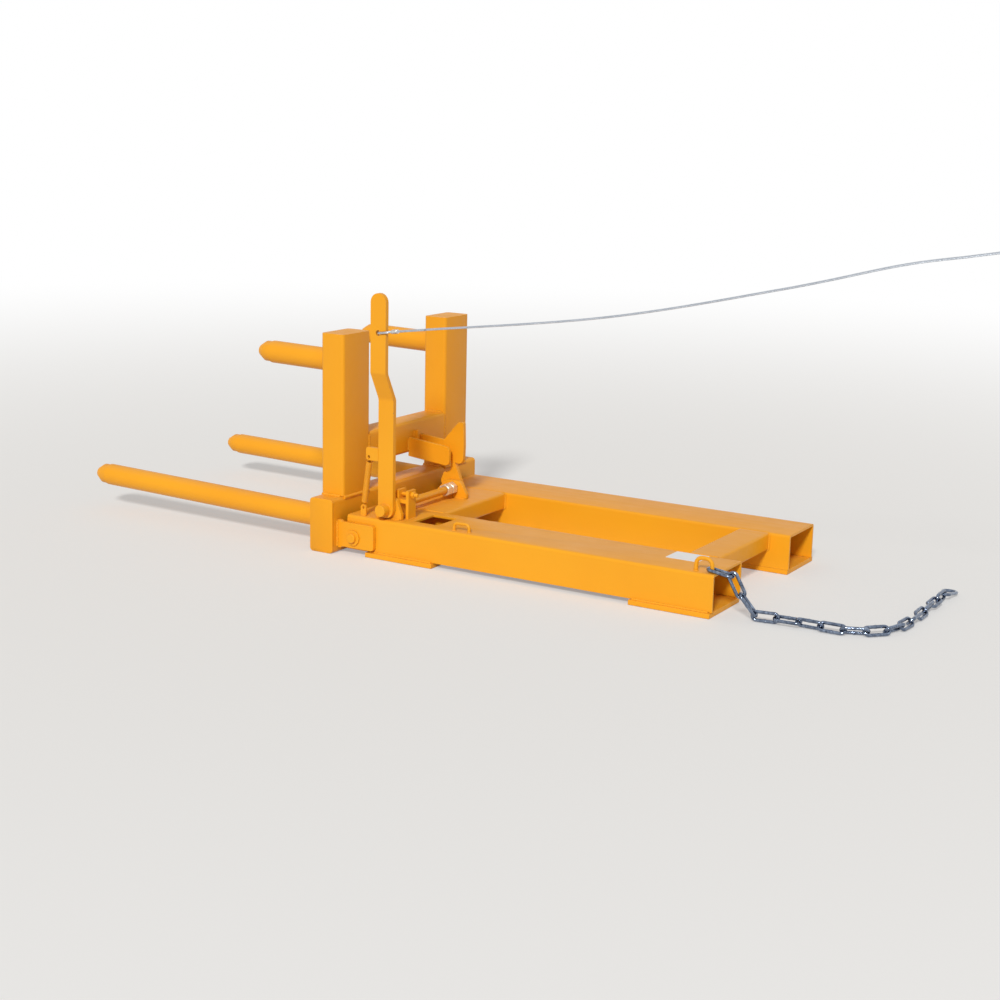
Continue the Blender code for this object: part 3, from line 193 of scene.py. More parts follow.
# Label on the left pocket
LABEL_X = (1.003, 1.087)
LABEL_Y = (-0.223, -0.157)
LABEL_THICK = 0.0004
LABEL_CORNER = 0.003

# Floor, sky and key light
FLOOR_REACH = 60
FLOOR_DROP = 0.0005
FADE_NEAR = 0.8
FADE_FAR = 7.0
FADE_LEAST = 0.30
SKY_COLOUR = (1.0, 0.94, 0.88, 1)
SKY_STRENGTH = 0.38
SKY_IN_GLOSS = 0.85
KEY_FROM = Vector((0.26, -0.77, 0.58))
KEY_COLOUR = (1.0, 0.99, 0.95)
KEY_STRENGTH = 2.32
KEY_ANGLE = math.radians(9)

# Finishes: colours, linear, and how much of each kind of wear and of painted light the paint shows
PAINT_EVENNESS = 0.70
# Dust on top faces, also a painted sheen of the sky there
PAINT_DUST_AND_SHEEN = 0.40
# Painted shade in corners and creases
PAINT_CREASE_SHADE = 0.55
# Edges rubbed paler, also a painted highlight along them
PAINT_RUB_AND_HIGHLIGHT = 0.16
PAINT_EDGE = 0.0022
ORANGE = (0.88, 0.385, 0.013, 1)
ORANGE_DEEP = (0.80, 0.30, 0.010, 1)
# Paler orange for dust on tops and rubbed edges, also their painted sheen and highlight
ORANGE_DUST_AND_SHEEN = (0.80, 0.38, 0.095, 1)
# Colour of the painted shade in corners and creases
CREASE_SHADE = (0.24, 0.075, 0.012, 1)
PRIMER = (0.20, 0.15, 0.12, 1)
ZINC = (0.84, 0.83, 0.80, 1)
ZINC_DULL = (0.50, 0.51, 0.52, 1)
NUT_BRIGHT = (0.88, 0.80, 0.66, 1)
NUT_DULL = (0.70, 0.58, 0.42, 1)
# Chain zinc, darkened as a painted reflection of dark surroundings
CHAIN_REFLECTION_LIGHT = (0.33, 0.40, 0.52, 1)
CHAIN_REFLECTION_DARK = (0.07, 0.09, 0.14, 1)
WIRE_BRIGHT = (0.72, 0.75, 0.80, 1)
WIRE_DULL = (0.42, 0.46, 0.52, 1)
PIN_BRIGHT = (0.46, 0.44, 0.42, 1)
PIN_DULL = (0.18, 0.16, 0.15, 1)
LABEL_WHITE = (0.82, 0.83, 0.85, 1)
LABEL_SHADE = (0.66, 0.68, 0.72, 1)
FLOOR_PALE = (0.80, 0.80, 0.80, 1)
WHITE = (1, 1, 1, 1)


def make_camera():
    ahead = Vector((-math.sin(CAMERA_YAW) * math.cos(CAMERA_PITCH),
                    math.cos(CAMERA_YAW) * math.cos(CAMERA_PITCH),
                    math.sin(CAMERA_PITCH)))
    level = ahead.cross(Z_AXIS).normalized()
    above = level.cross(ahead)
    right = level * math.cos(CAMERA_ROLL) + above * math.sin(CAMERA_ROLL)
    up = above * math.cos(CAMERA_ROLL) - level * math.sin(CAMERA_ROLL)
    data = bpy.data.cameras.new("camera")
    data.lens = CAMERA_LENS
    data.sensor_width = CAMERA_SENSOR
    data.clip_end = CAMERA_FAR
    camera = bpy.data.objects.new("camera", data)
    bpy.context.scene.collection.objects.link(camera)
    turn = Matrix((right, up, -ahead)).transposed().to_4x4()
    camera.matrix_world = Matrix.Translation(CAMERA_AT) @ turn
    bpy.context.scene.camera = camera


# Small tools for meshes and node trees
def put(name, mesh):
    obj = bpy.data.objects.new(name, mesh)
    bpy.context.scene.collection.objects.link(obj)
    return obj


def cover(obj, material):
    obj.data.materials.clear()
    obj.data.materials.append(material)


def finish_piece(obj, body, material, slot, *nodes):
    """Gives a finished piece its material, its body and the CAD nodes that it stands for."""
    cover(obj, material)
    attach(obj, body)
    if nodes:
        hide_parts(*nodes)
    return obj


def add(tree, kind, inputs=None, **settings):
    """A node with its settings, and its inputs linked or set."""
    made = tree.nodes.new(kind)
    for key, value in settings.items():
        setattr(made, key, value)
    for key, value in (inputs or {}).items():
        if isinstance(value, bpy.types.NodeSocket):
            tree.links.new(value, made.inputs[key])
        else:
            made.inputs[key].default_value = value
    return made


def calc(tree, operation, a, b=0.0, clamp=False):
    return add(tree, "ShaderNodeMath", {0: a, 1: b}, operation=operation, use_clamp=clamp).outputs[0]


def smooth_edges(mesh, angle=32):
    mesh.shade_smooth()
    mesh.set_sharp_from_angle(angle=math.radians(angle))


def mesh_piece(name, work, angle=32):
    mesh = bpy.data.meshes.new(name)
    work.to_mesh(mesh)
    work.free()
    smooth_edges(mesh, angle)
    return put(name, mesh)


def join_rings(work, pairs):
    """Four-sided faces from each ring of vertices to the one that it is paired with."""
    for ring, after in pairs:
        count = len(ring)
        for k in range(count):
            work.faces.new((ring[k], ring[(k + 1) % count], after[(k + 1) % count], after[k]))


def smooth_route(points, step):
    """Evenly spaced points on a smooth curve through the given ones."""
    ends = [2 * points[0] - points[1]] + points + [2 * points[-1] - points[-2]]
    dense = []
    for p0, p1, p2, p3 in zip(ends, ends[1:], ends[2:], ends[3:]):
        for k in range(40):
            t = k / 40
            bend = (2 * p0 - 5 * p1 + 4 * p2 - p3) * t + (3 * p1 - p0 - 3 * p2 + p3) * t * t
            dense.append(p1 + ((p2 - p0) + bend) * t / 2)
    dense.append(points[-1])
    length = line_length(dense)
    count = max(1, round(length / step))
    route, passed, number = [dense[0]], 0.0, 1
    for a, b in zip(dense, dense[1:]):
        span = (b - a).length
        while number < count and passed + span >= length * number / count:
            route.append(a + (b - a) * ((length * number / count - passed) / span))
            number += 1
        passed += span
    return route + [dense[-1]]


def line_length(points):
    return sum((b - a).length for a, b in zip(points, points[1:]))


def curve_of(name, lines):
    """A curve object with a spline for each (points, radius, closed) line."""
    curve = bpy.data.curves.new(name, "CURVE")
    curve.dimensions = "3D"
    for points, radius, closed in lines:
        spline = curve.splines.new("POLY")
        spline.points.add(len(points) - 1)
        for point, where in zip(spline.points, points):
            point.co = (*where, 1)
            point.radius = radius
        spline.use_cyclic_u = closed
    return put(name, curve)


# Geometry node trees
def new_tree(name, inputs):
    """An empty tree with named inputs, given as (name, socket kind, value)."""
    tree = bpy.data.node_groups.new(name, "GeometryNodeTree")
    tree.interface.new_socket("Geometry", in_out="INPUT", socket_type="NodeSocketGeometry")
    for label, kind, value in inputs:
        socket = tree.interface.new_socket(label, in_out="INPUT", socket_type="NodeSocket" + kind)
        if value is not None:
            socket.default_value = value
    tree.interface.new_socket("Geometry", in_out="OUTPUT", socket_type="NodeSocketGeometry")
    return tree, tree.nodes.new("NodeGroupInput")


def end_tree(tree, given, geometry):
    """Ends a tree in real meshes with the material on them."""
    real = add(tree, "GeometryNodeRealizeInstances", {"Geometry": geometry}).outputs[0]
    painted = add(tree, "GeometryNodeSetMaterial",
                  {"Geometry": real, "Material": given.outputs["Material"]}).outputs[0]
    add(tree, "NodeGroupOutput", {"Geometry": painted})


def scaled(tree, vector, factor):
    return add(tree, "ShaderNodeVectorMath", {0: vector, "Scale": factor}, operation="SCALE").outputs[0]


def evenly(tree, curve, step):
    """The curve with its points a step apart."""
    return add(tree, "GeometryNodeResampleCurve", {"Curve": curve, "Length": step}, mode="LENGTH").outputs[0]


def swept(tree, curve, sides, radius, scale=1.0, caps=True):
    """A round tube along the curve."""
    profile = add(tree, "GeometryNodeCurvePrimitiveCircle", {"Resolution": sides, "Radius": radius}).outputs[0]
    return add(tree, "GeometryNodeCurveToMesh",
               {"Curve": curve, "Profile Curve": profile, "Scale": scale, "Fill Caps": caps}).outputs[0]


def grown(obj, tree, values):
    """The plain mesh object that a tree makes of an object."""
    modifier = obj.modifiers.new(tree.name, "NODES")
    modifier.node_group = tree
    for item in tree.interface.items_tree:
        if item.item_type == "SOCKET" and item.in_out == "INPUT" and item.name in values:
            modifier[item.identifier] = values[item.name]
    bpy.context.view_layer.update()
    depsgraph = bpy.context.evaluated_depsgraph_get()
    mesh = bpy.data.meshes.new_from_object(obj.evaluated_get(depsgraph), depsgraph=depsgraph)
    name = obj.name
    obj.modifiers.remove(modifier)
    bpy.data.objects.remove(obj)
    return put(name, mesh)


def strand_tree():
    """Six strands laid round a straight one, along a curve."""
    tree, given = new_tree("rope_strands", [
        ("Rope Radius", "Float", ROPE_RADIUS), ("Lay Length", "Float", ROPE_LAY),
        ("Step", "Float", STRAND_STEP), ("Material", "Material", None),
    ])
    even = evenly(tree, given.outputs["Geometry"], given.outputs["Step"])
    copies = add(tree, "GeometryNodeDuplicateElements", {"Geometry": even, "Amount": STRANDS_ROUND},
                 domain="SPLINE")
    along = add(tree, "GeometryNodeSplineParameter").outputs["Length"]
    turns = calc(tree, "DIVIDE", along, given.outputs["Lay Length"])
    share = calc(tree, "DIVIDE", copies.outputs["Duplicate Index"], STRANDS_ROUND)
    angle = calc(tree, "MULTIPLY", calc(tree, "ADD", turns, share), 2 * math.pi)
    reach = calc(tree, "MULTIPLY", given.outputs["Rope Radius"], 2 / 3)
    normal = add(tree, "GeometryNodeInputNormal").outputs[0]
    tangent = add(tree, "GeometryNodeInputTangent").outputs[0]
    side = add(tree, "ShaderNodeVectorMath", {0: tangent, 1: normal}, operation="CROSS_PRODUCT").outputs[0]
    out = scaled(tree, normal, calc(tree, "COSINE", angle))
    off = scaled(tree, side, calc(tree, "SINE", angle))
    both = add(tree, "ShaderNodeVectorMath", {0: out, 1: off}, operation="ADD").outputs[0]
    moved = scaled(tree, both, reach)
    laid = add(tree, "GeometryNodeSetPosition", {"Geometry": copies.outputs[0], "Offset": moved}).outputs[0]
    strands = add(tree, "GeometryNodeJoinGeometry", {"Geometry": laid})
    tree.links.new(even, strands.inputs[0])
    thickness = calc(tree, "MULTIPLY", given.outputs["Rope Radius"], STRAND_SHARE)
    end_tree(tree, given, swept(tree, strands.outputs[0], 8, thickness))
    return tree


def bead_tree():
    """A weld bead along each curve, as thick as the curve's radius says, with the ripples of its runs."""
    tree, given = new_tree("weld_beads", [
        ("Step", "Float", BEAD_STEP), ("Ripple", "Float", None), ("Swell", "Float", None),
        ("Seed", "Float", BEAD_SEED), ("Material", "Material", None),
    ])
    even = evenly(tree, given.outputs["Geometry"], given.outputs["Step"])
    along = add(tree, "GeometryNodeSplineParameter").outputs["Length"]
    place = add(tree, "GeometryNodeInputPosition").outputs[0]
    rough = add(tree, "ShaderNodeTexNoise",
                {"Vector": place, "Scale": 120.0, "Detail": 2.0, "W": given.outputs["Seed"]},
                noise_dimensions="4D").outputs[0]
    wander = calc(tree, "MULTIPLY", rough, 0.8)
    runs = calc(tree, "DIVIDE", along, given.outputs["Ripple"])
    ripple = calc(tree, "FRACT", calc(tree, "ADD", runs, wander))
    swell = calc(tree, "ADD", calc(tree, "MULTIPLY", calc(tree, "SQRT", ripple), given.outputs["Swell"]),
                 calc(tree, "MULTIPLY", rough, 0.35))
    size = calc(tree, "ADD", swell, 0.68)
    radius = add(tree, "GeometryNodeInputRadius").outputs[0]
    end_tree(tree, given, swept(tree, even, 8, 1.0, calc(tree, "MULTIPLY", radius, size)))
    return tree


def link_tree():
    """A chain link at each point, turned as the point's "turn" says, with the swelling of its butt weld."""
    tree, given = new_tree("chain_links", [
        ("Length", "Float", LINK_LENGTH), ("Width", "Float", LINK_WIDTH),
        ("Rod Radius", "Float", LINK_ROD_RADIUS), ("Material", "Material", None),
    ])
    length, width, rod = given.outputs["Length"], given.outputs["Width"], given.outputs["Rod Radius"]
    bend = calc(tree, "SUBTRACT", calc(tree, "DIVIDE", width, 2.0), rod)
    straight = calc(tree, "DIVIDE", calc(tree, "SUBTRACT", length, width), 2.0)
    ring = add(tree, "GeometryNodeCurvePrimitiveCircle", {"Resolution": 40, "Radius": bend}).outputs[0]
    place = add(tree, "GeometryNodeInputPosition").outputs[0]
    apart = add(tree, "ShaderNodeSeparateXYZ", {0: place})
    sideways = calc(tree, "SIGN", calc(tree, "ADD", apart.outputs["X"], 0.000001))
    shift = add(tree, "ShaderNodeCombineXYZ", {"X": calc(tree, "MULTIPLY", sideways, straight)}).outputs[0]
    long_ring = add(tree, "GeometryNodeSetPosition", {"Geometry": ring, "Offset": shift}).outputs[0]
    even = add(tree, "GeometryNodeResampleCurve", {"Curve": long_ring, "Count": 72}).outputs[0]
    from_weld = calc(tree, "ABSOLUTE", apart.outputs["X"])
    near = calc(tree, "SUBTRACT", 1.0, calc(tree, "DIVIDE", from_weld, LINK_WELD_REACH), clamp=True)
    this_side = calc(tree, "GREATER_THAN", apart.outputs["Y"], 0.0)
    swell = calc(tree, "MULTIPLY", calc(tree, "MULTIPLY", near, this_side), LINK_WELD_SWELL)
    thick = calc(tree, "MULTIPLY", rod, calc(tree, "ADD", swell, 1.0))
    link = swept(tree, even, 14, 1.0, thick, caps=False)
    turn = add(tree, "GeometryNodeInputNamedAttribute", {"Name": "turn"}, data_type="FLOAT_VECTOR").outputs[0]
    spin = add(tree, "FunctionNodeEulerToRotation", {0: turn}).outputs[0]
    links = add(tree, "GeometryNodeInstanceOnPoints",
                {"Points": given.outputs["Geometry"], "Instance": link, "Rotation": spin}).outputs[0]
    end_tree(tree, given, links)
    return tree


def coil_tree():
    """A close-wound coil that stands on its lower end."""
    tree, given = new_tree("spring_coil", [
        ("Radius", "Float", SPRING_RADIUS), ("Wire Radius", "Float", SPRING_WIRE_RADIUS),
        ("Turns", "Float", float(SPRING_TURNS)), ("Length", "Float", SPRING_LENGTH),
        ("Material", "Material", None),
    ])
    middle = calc(tree, "SUBTRACT", given.outputs["Radius"], given.outputs["Wire Radius"])
    coil = add(tree, "GeometryNodeCurveSpiral", {
        "Resolution": 20, "Rotations": given.outputs["Turns"], "Start Radius": middle, "End Radius": middle,
        "Height": given.outputs["Length"],
    }).outputs[0]
    end_tree(tree, given, swept(tree, coil, 8, given.outputs["Wire Radius"]))
    return tree


# Finishes
def new_finish(name):
    material = bpy.data.materials.new(name)
    material.use_nodes = True
    tree = material.node_tree
    return material, tree, tree.nodes["Principled BSDF"], add(tree, "ShaderNodeTexCoord").outputs["Object"]


def noise(tree, at, scale, detail=3.0, roughness=0.55):
    return add(tree, "ShaderNodeTexNoise",
               {"Vector": at, "Scale": scale, "Detail": detail, "Roughness": roughness}).outputs[0]


def stretched(tree, at, scale):
    return add(tree, "ShaderNodeMapping", {"Vector": at, "Scale": scale}).outputs[0]


def between(tree, value, low, high, to_low=0.0, to_high=1.0, kind="LINEAR"):
    return add(tree, "ShaderNodeMapRange",
               {"Value": value, "From Min": low, "From Max": high, "To Min": to_low, "To Max": to_high},
               interpolation_type=kind).outputs[0]


def mixed(tree, factor, a, b):
    node = add(tree, "ShaderNodeMix", data_type="RGBA")
    for key, value in ((0, factor), (6, a), (7, b)):
        if isinstance(value, bpy.types.NodeSocket):
            tree.links.new(value, node.inputs[key])
        else:
            node.inputs[key].default_value = value
    return node.outputs[2]


def bumped(tree, height, distance, under=None):
    values = {"Height": height, "Distance": distance, "Strength": 1.0}
    if under is not None:
        values["Normal"] = under
    return add(tree, "ShaderNodeBump", values).outputs[0]


def worn_edges(tree, width):
    """1 where the surface turns sharply within a width, 0 on the flats."""
    rounded = add(tree, "ShaderNodeBevel", {"Radius": width}, samples=4).outputs[0]
    normal = add(tree, "ShaderNodeNewGeometry").outputs["Normal"]
    facing = add(tree, "ShaderNodeVectorMath", {0: rounded, 1: normal}, operation="DOT_PRODUCT")
    return between(tree, facing.outputs["Value"], 0.995, 0.86)


def orange_paint_finish():
    """Stove enamel: fine peel, faded in broad patches, paler on top from dust and a painted sheen of the sky,
    with painted shade in its corners, and at its edges rubbed paler (partly a painted highlight) and chipped.
    """
    material, tree, shader, at = new_finish("orange_paint_worn_painted_shade")
    fade = between(tree, noise(tree, at, 3.0), 0.35, 0.65)
    colour = mixed(tree, fade, ORANGE_DEEP, ORANGE)
    colour = mixed(tree, PAINT_EVENNESS, colour, ORANGE)
    # Tops paler: dust, and also a painted sheen of the sky
    upward = add(tree, "ShaderNodeTexCoord").outputs["Normal"]
    level = between(tree, add(tree, "ShaderNodeSeparateXYZ", {0: upward}).outputs["Z"], 0.6, 0.98)
    patches = between(tree, noise(tree, at, 22.0, 5.0, 0.65), 0.35, 0.70, 0.25, 1.0)
    dust_and_sheen = calc(tree, "MULTIPLY", level, calc(tree, "MULTIPLY", patches, PAINT_DUST_AND_SHEEN))
    colour = mixed(tree, dust_and_sheen, colour, ORANGE_DUST_AND_SHEEN)
    # Painted shade: darker in spots where ambient occlusion finds corners and creases
    hidden = add(tree, "ShaderNodeAmbientOcclusion", {"Distance": 0.016}, samples=4).outputs["AO"]
    spots = between(tree, noise(tree, at, 90.0), 0.3, 0.7)
    crease_shade = calc(tree, "MULTIPLY", between(tree, hidden, 0.62, 0.25), spots)
    colour = mixed(tree, calc(tree, "MULTIPLY", crease_shade, PAINT_CREASE_SHADE), colour, CREASE_SHADE)
    edge = worn_edges(tree, PAINT_EDGE)
    speckle = between(tree, noise(tree, at, 160.0, 6.0, 0.7), 0.57, 0.61)
    broad = between(tree, noise(tree, at, 9.0), 0.50, 0.62)
    chips = calc(tree, "MULTIPLY", calc(tree, "MULTIPLY", edge, speckle), broad)
    # Edges rubbed paler, partly a painted highlight
    colour = mixed(tree, calc(tree, "MULTIPLY", edge, PAINT_RUB_AND_HIGHLIGHT), colour, ORANGE_DUST_AND_SHEEN)
    colour = mixed(tree, chips, colour, PRIMER)
    tree.links.new(colour, shader.inputs["Base Color"])
    streaks = noise(tree, stretched(tree, at, (6.0, 60.0, 60.0)), 1.0, 4.0)
    gloss = between(tree, streaks, 0.3, 0.7, 0.34, 0.46)
    gloss = calc(tree, "ADD", gloss, calc(tree, "MULTIPLY", dust_and_sheen, 0.35))
    gloss = calc(tree, "ADD", gloss, calc(tree, "MULTIPLY", chips, 0.25), clamp=True)
    tree.links.new(gloss, shader.inputs["Roughness"])
    shader.inputs["Specular IOR Level"].default_value = 0.28
    waves = bumped(tree, noise(tree, at, 30.0, 1.0), 0.0005)
    peel = bumped(tree, noise(tree, at, 650.0, 2.0), 0.00006, waves)
    sunk = bumped(tree, calc(tree, "SUBTRACT", 1.0, chips), 0.00012, peel)
    tree.links.new(sunk, shader.inputs["Normal"])
    return material


def plated_finish(name, bright, dull, roughness, grain=140.0, metal=1.0):
    """Zinc or bare steel with a mottled skin and fine scratches."""
    material, tree, shader, at = new_finish(name)
    mottle = noise(tree, at, grain, 4.0, 0.6)
    worn = between(tree, noise(tree, at, 35.0, 3.0), 0.35, 0.65)
    colour = mixed(tree, between(tree, mottle, 0.3, 0.7), dull, bright)
    colour = mixed(tree, calc(tree, "MULTIPLY", worn, 0.4), colour, dull)
    tree.links.new(colour, shader.inputs["Base Color"])
    shader.inputs["Metallic"].default_value = metal
    scratches = noise(tree, stretched(tree, at, (40.0, 900.0, 900.0)), 1.0, 3.0, 0.7)
    gloss = calc(tree, "ADD", between(tree, mottle, 0.3, 0.7, roughness - 0.06, roughness + 0.08),
                 between(tree, scratches, 0.55, 0.75, 0.0, 0.12))
    tree.links.new(gloss, shader.inputs["Roughness"])
    skin = bumped(tree, mottle, 0.00006)
    tree.links.new(bumped(tree, scratches, 0.00003, skin), shader.inputs["Normal"])
    return material


def label_finish():
    """Bare film label: satin white, a little scuffed."""
    material, tree, shader, at = new_finish("label_film")
    scuffs = between(tree, noise(tree, stretched(tree, at, (30.0, 260.0, 30.0)), 1.0, 5.0, 0.7), 0.52, 0.70)
    colour = mixed(tree, calc(tree, "MULTIPLY", scuffs, 0.6), LABEL_WHITE, LABEL_SHADE)
    tree.links.new(colour, shader.inputs["Base Color"])
    tree.links.new(between(tree, scuffs, 0.0, 1.0, 0.32, 0.55), shader.inputs["Roughness"])
    tree.links.new(bumped(tree, noise(tree, at, 120.0), 0.00008), shader.inputs["Normal"])
    return material


# Rope
def rope_lines():
    """Both strands from the hole: the main one to the ring, and the dead end past the clip."""
    route = [Vector((x, ROPE_HOLE.y, z)) + DATUM for x, z in ROPE_ROUTE]
    away = (route[0] - ROPE_HOLE).normalized()
    centre = ROPE_HOLE + away * (ROPE_LOOP_RADIUS - ROPE_RADIUS / 2)
    strand = Y_AXIS * (ROPE_RADIUS + GAP)
    wide = Y_AXIS * ROPE_LOOP_RADIUS
    clip = ROPE_HOLE + away * CLIP_AT
    before, after = clip - away * CLIP_LENGTH / 2, clip + away * CLIP_LENGTH / 2
    turning = ROPE_HOLE + away * ROPE_STRAIGHT
    quarter = [math.pi * k / 16 for k in range(9)]
    far = [centre - away * ROPE_LOOP_RADIUS * math.cos(a) + wide * math.sin(a) for a in quarter]
    near = [centre - away * ROPE_LOOP_RADIUS * math.cos(a) - wide * math.sin(a) for a in quarter]
    main = smooth_route(far + [turning + wide, before + strand], ROPE_STEP / 2)
    main += smooth_route([after + strand] + route, ROPE_STEP)
    tail_end = clip + away * ROPE_TAIL - strand * 1.3
    tail = smooth_route(near + [turning - wide, before - strand], ROPE_STEP / 2)
    tail += smooth_route([after - strand, (tail_end + after - strand) / 2, tail_end], ROPE_STEP)
    return main, tail, clip, away


def pressed_sleeve(material, clip, away):
    """Oval sleeve pressed over both strands, with the marks of the press."""
    up = away.cross(Y_AXIS)
    steps, sides = 18, 32
    end_taper, press_mark = 0.16, 0.05
    work = bmesh.new()
    rings = []
    for k in range(steps + 1):
        along = (k / steps - 0.5) * CLIP_LENGTH
        from_end = min(k, steps - k) / 2.5
        swell = 1 - end_taper * max(0.0, 1 - from_end) ** 2 - (press_mark if k % 6 in (2, 3) else 0)
        ring = []
        for m in range(sides):
            angle = 2 * math.pi * m / sides
            c, s = math.cos(angle), math.sin(angle)
            y = math.copysign(abs(c) ** 0.75, c) * CLIP_WIDTH / 2 * swell
            z = math.copysign(abs(s) ** 0.9, s) * CLIP_HEIGHT / 2 * swell
            ring.append(work.verts.new(clip + away * along + Y_AXIS * y + up * z))
        rings.append(ring)
    join_rings(work, zip(rings, rings[1:]))
    work.faces.new(rings[0])
    work.faces.new(rings[-1])
    bmesh.ops.recalc_face_normals(work, faces=work.faces)
    return finish_piece(mesh_piece("rope_sleeve", work, 50), "rope", material, "zinc", "rope_clip")


def tube_faces(work, points, radii, sides=12, closed=False):
    """A round tube through points, added to a bmesh. Its cross-sections keep turning with the line."""
    count = len(points)
    normal = None
    rings = []
    for k, point in enumerate(points):
        before = points[k - 1] if k or closed else points[k]
        after = points[(k + 1) % count] if k < count - 1 or closed else points[k]
        tangent = (after - before).normalized()
        if normal is None:
            normal = tangent.orthogonal().normalized()
        normal = (normal - tangent * normal.dot(tangent)).normalized()
        other = tangent.cross(normal)
        radius = radii[k] if isinstance(radii, list) else radii
        rings.append([work.verts.new(point + (normal * math.cos(a) + other * math.sin(a)) * radius)
                      for a in (2 * math.pi * m / sides for m in range(sides))])
    pairs = list(zip(rings, rings[1:]))
    if closed:
        first, last = rings[0], rings[-1]
        shift = min(range(sides), key=lambda m: (last[0].co - first[m].co).length)
        pairs.append((last, first[shift:] + first[:shift]))
    join_rings(work, pairs)
    if not closed:
        work.faces.new(list(reversed(rings[0])))
        work.faces.new(rings[-1])


def end_ring(material, end, heading):
    """Ring on a swaged ferrule at the rope's free end."""
    work = bmesh.new()
    length = FERRULE_LENGTH
    # Each place along the ferrule, with its share of the full radius
    profile = [(0.0000, 0.72), (0.0008, 0.92), (0.0020, 1.0), (0.0070, 1.0), (0.0082, 0.86), (0.0108, 0.86),
               (0.0120, 1.0), (0.0170, 1.0), (0.0182, 0.86), (0.0208, 0.86), (0.0220, 1.0),
               (length - 0.002, 1.0), (length, 0.75)]
    places = [end + heading * (GAP + at) for at, _ in profile]
    tube_faces(work, places, [share * FERRULE_RADIUS for _, share in profile], 24)
    centre = end + heading * (length + RING_RADIUS)
    up = heading.cross(Y_AXIS).normalized()
    ring = [centre + (heading * math.cos(a) + up * math.sin(a)) * RING_RADIUS
            for a in (2 * math.pi * k / 64 for k in range(64))]
    tube_faces(work, ring, RING_ROD_RADIUS, 16, closed=True)
    return finish_piece(mesh_piece("rope_end_ring", work), "rope", material, "zinc", "rope_ring")


def make_rope(wire, plated):
    main, tail, clip, away = rope_lines()
    tree = strand_tree()
    line = grown(curve_of("wire_rope", [(main, 1.0, False)]), tree, {"Material": wire})
    smooth_edges(line.data, 60)
    finish_piece(line, "rope", wire, "wire_rope", "pull_rope")
    dead_end = grown(curve_of("wire_rope_dead_end", [(tail, 1.0, False)]), tree, {"Material": wire})
    smooth_edges(dead_end.data, 60)
    finish_piece(dead_end, "rope", wire, "wire_rope")
    sleeve = pressed_sleeve(plated, clip, away)
    ring = end_ring(plated, main[-1], (main[-1] - main[-2]).normalized())


# Chain
def towards(heading, pitch):
    return Vector((math.cos(pitch) * math.cos(heading), math.cos(pitch) * math.sin(heading), math.sin(pitch)))


def chain_twist(number):
    ramp = min(number - TWIST_FROM, LINKS - 1 - number) / TWIST_LINKS
    return TWIST * max(0.0, min(1.0, ramp))


def ground_level(number):
    bend = LINK_WIDTH / 2 - LINK_ROD_RADIUS
    return LINK_ROD_RADIUS + 3 * GAP + bend * math.cos(chain_twist(number))


def chain_places():
    """(middle, direction) of each link, from the datum, as in the part's source."""
    rod_at = LINK_LENGTH / 2 - LINK_ROD_RADIUS
    hung = LINK_LENGTH / 2 - LINK_WIDTH / 2 + LINK_ROD_RADIUS * LINK_HANG
    even = LINK_LENGTH / 2 - 2 * LINK_ROD_RADIUS - LINK_PLAY
    ahead = towards(FIRST_HEADING, FIRST_PITCH)
    front_rod = STAPLE_X + STAPLE_SPAN / 2 - STAPLE_ROD_RADIUS - LINK_ROD_RADIUS - LINK_PLAY
    middle_x = front_rod + ahead.x * rod_at
    middle_y = STAPLE_Y + ahead.y * rod_at
    drop_to_rear = (POCKET_REAR - middle_x) * math.tan(-FIRST_PITCH)
    middle_z = POCKET_TOP + (LINK_ROD_RADIUS + GAP) / ahead.x + drop_to_rear
    places = [(Vector((middle_x, middle_y, middle_z)), ahead)]
    held = places[0][0] + ahead * rod_at
    ahead = towards(HANG_HEADING, SECOND_PITCH)
    places.append((held + ahead * hung, ahead))
    joint = places[1][0] + ahead * even
    drop = joint.z - ground_level(TWIST_FROM)
    lower = towards(HANG_HEADING, -math.asin(drop / (even + rod_at)))
    places.append((joint + lower * even, lower))
    held = places[2][0] + lower * rod_at
    ahead = towards(HANG_HEADING, 0)
    places.append((held + ahead * hung, ahead))
    route = smooth_route([Vector((*point, 0)) for point in CHAIN_ROUTE], CHAIN_ROUTE_STEP)
    while len(places) < LINKS:
        middle, last = places[-1]
        joint = middle + last * even
        below = Vector((joint.x, joint.y, 0))
        target = next(p for p in route if (p - below).dot(last) > 0 and (p - below).length > 2 * even)
        target = Vector((target.x, target.y, ground_level(len(places))))
        ahead = (target - joint).normalized()
        reach = even - LINK_PLAY_IN_BEND * (1 - ahead.dot(last))
        places.append((middle + last * reach + ahead * reach, ahead))
    return places


def across(ahead, roll):
    side = Z_AXIS.cross(ahead).normalized()
    up = ahead.cross(side)
    width = side * math.cos(roll) + up * math.sin(roll)
    return Matrix((ahead, width, ahead.cross(width))).transposed().to_euler()


def make_chain(material):
    places = chain_places()
    mesh = bpy.data.meshes.new("chain_links")
    mesh.from_pydata([middle + DATUM for middle, _ in places], [], [])
    turns = mesh.attributes.new("turn", "FLOAT_VECTOR", "POINT")
    for number, (_, ahead) in enumerate(places):
        turns.data[number].vector = across(ahead, number * math.pi / 2 + chain_twist(number))
    chain = grown(put("chain_links", mesh), link_tree(), {"Material": material})
    smooth_edges(chain.data, 60)
    names = [f"chain_link_{number + 1:02d}" for number in range(LINKS)]
    finish_piece(chain, "frame", material, "zinc", *names)


